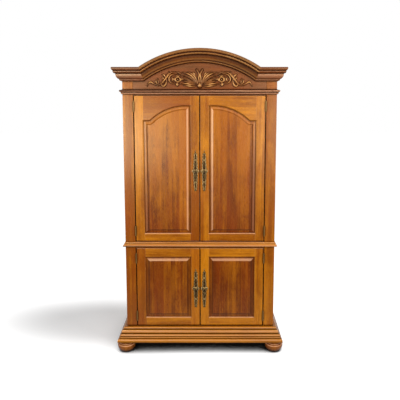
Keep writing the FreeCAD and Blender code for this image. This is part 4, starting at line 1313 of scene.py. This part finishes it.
def studio_paper(name, lift):
    """White paper that is lifted to white by a glow, with the lamps' shadows and a painted shadow near the
    armoire and to its left.

    It throws little light back, so that the object is lit from the front and above.
    """
    material, tree, shader = new_material(name)
    tree.nodes.remove(shader)
    # painted shadow near the armoire, from ambient occlusion, darkening both the paper's colour and its glow
    open_sky = add_node(
        tree, "ShaderNodeAmbientOcclusion", {"Distance": CONTACT_REACH}, samples=16
    ).outputs["AO"]
    open_sky = add_node(
        tree, "ShaderNodeMapRange", {"Value": open_sky, "From Min": 0.25, "From Max": 0.75}
    ).outputs[0]
    direct = add_node(tree, "ShaderNodeLightPath").outputs["Is Camera Ray"]
    colour = add_node(
        tree,
        "ShaderNodeMix",
        {MIX_FACTOR: direct, MIX_A: linear(PAPER_BOUNCE), MIX_B: linear(PAPER_SEEN)},
        data_type="RGBA",
    ).outputs[MIX_RESULT]
    shaded = add_node(
        tree,
        "ShaderNodeMix",
        {MIX_FACTOR: open_sky, MIX_A: linear(PAPER_SHADE), MIX_B: colour},
        data_type="RGBA",
    ).outputs[MIX_RESULT]
    paper = add_node(tree, "ShaderNodeBsdfDiffuse", {"Color": shaded}).outputs[0]
    place = add_node(tree, "ShaderNodeTexCoord").outputs["Object"]
    strength = add_node(
        tree, "ShaderNodeMath", {0: seen_by_eye(tree), 1: open_sky}, operation="MULTIPLY"
    ).outputs[0]
    for middle, turn, spread, share in PAPER_SHADES:
        shade = add_node(
            tree,
            "ShaderNodeMapping",
            {"Vector": place, "Location": middle, "Rotation": (0, 0, turn), "Scale": spread},
            vector_type="TEXTURE",
        ).outputs[0]
        away = add_node(tree, "ShaderNodeVectorMath", {0: shade}, operation="LENGTH").outputs["Value"]
        lifted = add_node(
            tree,
            "ShaderNodeMapRange",
            {"Value": away, "From Min": 0.3, "From Max": 1.0, "To Min": share * lift, "To Max": 1.0},
            interpolation_type="SMOOTHSTEP",
        ).outputs[0]
        strength = add_node(tree, "ShaderNodeMath", {0: strength, 1: lifted}, operation="MULTIPLY").outputs[0]
    glow = add_node(tree, "ShaderNodeEmission", {"Color": linear(WHITE), "Strength": strength}).outputs[0]
    both = add_node(tree, "ShaderNodeAddShader", {0: paper, 1: glow}).outputs[0]
    tree.links.new(both, tree.nodes["Material Output"].inputs["Surface"])
    return material


FLOOR_SIZE = 60  # metres, past all that a camera sees
CAMERA_SHIFT = (-0.020, -0.108)  # moves the picture sideways and down without turning the camera
# name, place, what it aims at, width and height in metres, and the stage's property with its power
SOFTBOXES = (
    ("key_light", (0, -3.2, 2.95), (0, 0, 1.2), (2.6, 1.0), "key_power"),
    ("right_window", (1.25, -3.0, 1.6), (0, 0, 1.3), (1.1, 1.3), "right_power"),
    ("left_window", (-1.45, -3.0, 1.6), (0, 0, 1.3), (1.1, 1.3), "left_power"),
    ("near_light", (-0.95, -2.4, 1.42), (0, 0, 1.4), (1.3, 0.75), "near_power"),
    ("side_light", (2.1, -1.5, 2.6), (0, 0, 1.2), (1.2, 1.2), "side_power"),
)


def add_softbox(name, place, aim, size, power):
    """A wide soft lamp that the camera doesn't see."""
    bpy.ops.object.light_add(type="AREA", location=place)
    light = bpy.context.object
    light.name = name
    light.data.shape = "RECTANGLE"
    light.data.size, light.data.size_y = size
    light.data.energy = power
    light.rotation_euler = (Vector(aim) - Vector(place)).to_track_quat("-Z", "Y").to_euler()
    light.visible_camera = False


class ARMOIRE_OT_stage(bpy.types.Operator):
    """Set the floor, the lights and the camera"""

    bl_idname = "armoire.stage"
    bl_label = "Studio"

    def execute(self, context):
        stage = context.scene.armoire_stage
        bpy.ops.object.select_all(action="DESELECT")
        bpy.ops.mesh.primitive_plane_add(size=FLOOR_SIZE)
        floor = context.object
        floor.name = "studio_floor"
        floor.data.materials.append(studio_paper("studio_paper", stage.floor_lift))

        world = bpy.data.worlds.new("studio")
        world.use_nodes = True
        context.scene.world = world
        background = world.node_tree.nodes["Background"]
        strength = add_node(
            world.node_tree,
            "ShaderNodeMapRange",
            {"Value": seen_by_eye(world.node_tree), "To Min": stage.daylight, "To Max": 1.0},
        ).outputs[0]
        world.node_tree.links.new(strength, background.inputs["Strength"])
        background.inputs["Color"].default_value = linear(WHITE)

        for name, place, aim, size, power in SOFTBOXES:
            add_softbox(name, place, aim, size, getattr(stage, power))

        bpy.ops.object.camera_add(
            location=(stage.camera_x, door_face - stage.camera_distance, stage.camera_height),
            rotation=(QUARTER - stage.camera_dip, 0, 0),
        )
        camera = context.object
        camera.data.lens = stage.lens
        camera.data.shift_x, camera.data.shift_y = CAMERA_SHIFT
        context.scene.camera = camera
        context.scene.view_settings.view_transform = "Standard"
        return {"FINISHED"}


OPERATORS = (
    ARMOIRE_OT_case,
    ARMOIRE_OT_mouldings,
    ARMOIRE_OT_feet,
    ARMOIRE_OT_doors,
    ARMOIRE_OT_carving,
    ARMOIRE_OT_pull_plates,
    ARMOIRE_OT_hardware,
    ARMOIRE_OT_stage,
)


class ARMOIRE_PT_pieces(bpy.types.Panel):
    bl_label = "Television armoire"
    bl_idname = "ARMOIRE_PT_pieces"
    bl_space_type = "VIEW_3D"
    bl_region_type = "UI"
    bl_category = "Armoire"

    def draw(self, context):
        for operator in OPERATORS:
            self.layout.operator(operator.bl_idname)


GROUPS = {
    "armoire_woods": ArmoireWoods,
    "armoire_carving": ArmoireCarving,
    "armoire_pulls": ArmoirePulls,
    "armoire_stage": ArmoireStage,
}


def register():
    for name, group in GROUPS.items():
        bpy.utils.register_class(group)
        setattr(bpy.types.Scene, name, bpy.props.PointerProperty(type=group))
    for operator in OPERATORS:
        bpy.utils.register_class(operator)
    bpy.utils.register_class(ARMOIRE_PT_pieces)


def unregister():
    bpy.utils.unregister_class(ARMOIRE_PT_pieces)
    for operator in reversed(OPERATORS):
        bpy.utils.unregister_class(operator)
    for name, group in GROUPS.items():
        delattr(bpy.types.Scene, name)
        bpy.utils.unregister_class(group)


def main():
    register()
    bpy.ops.armoire.case()
    bpy.ops.armoire.mouldings()
    bpy.ops.armoire.feet()
    bpy.ops.armoire.doors()
    bpy.ops.armoire.carving()
    bpy.ops.armoire.pull_plates()
    bpy.ops.armoire.hardware()
    bpy.ops.armoire.stage()


if __name__ == "__main__":
    main()
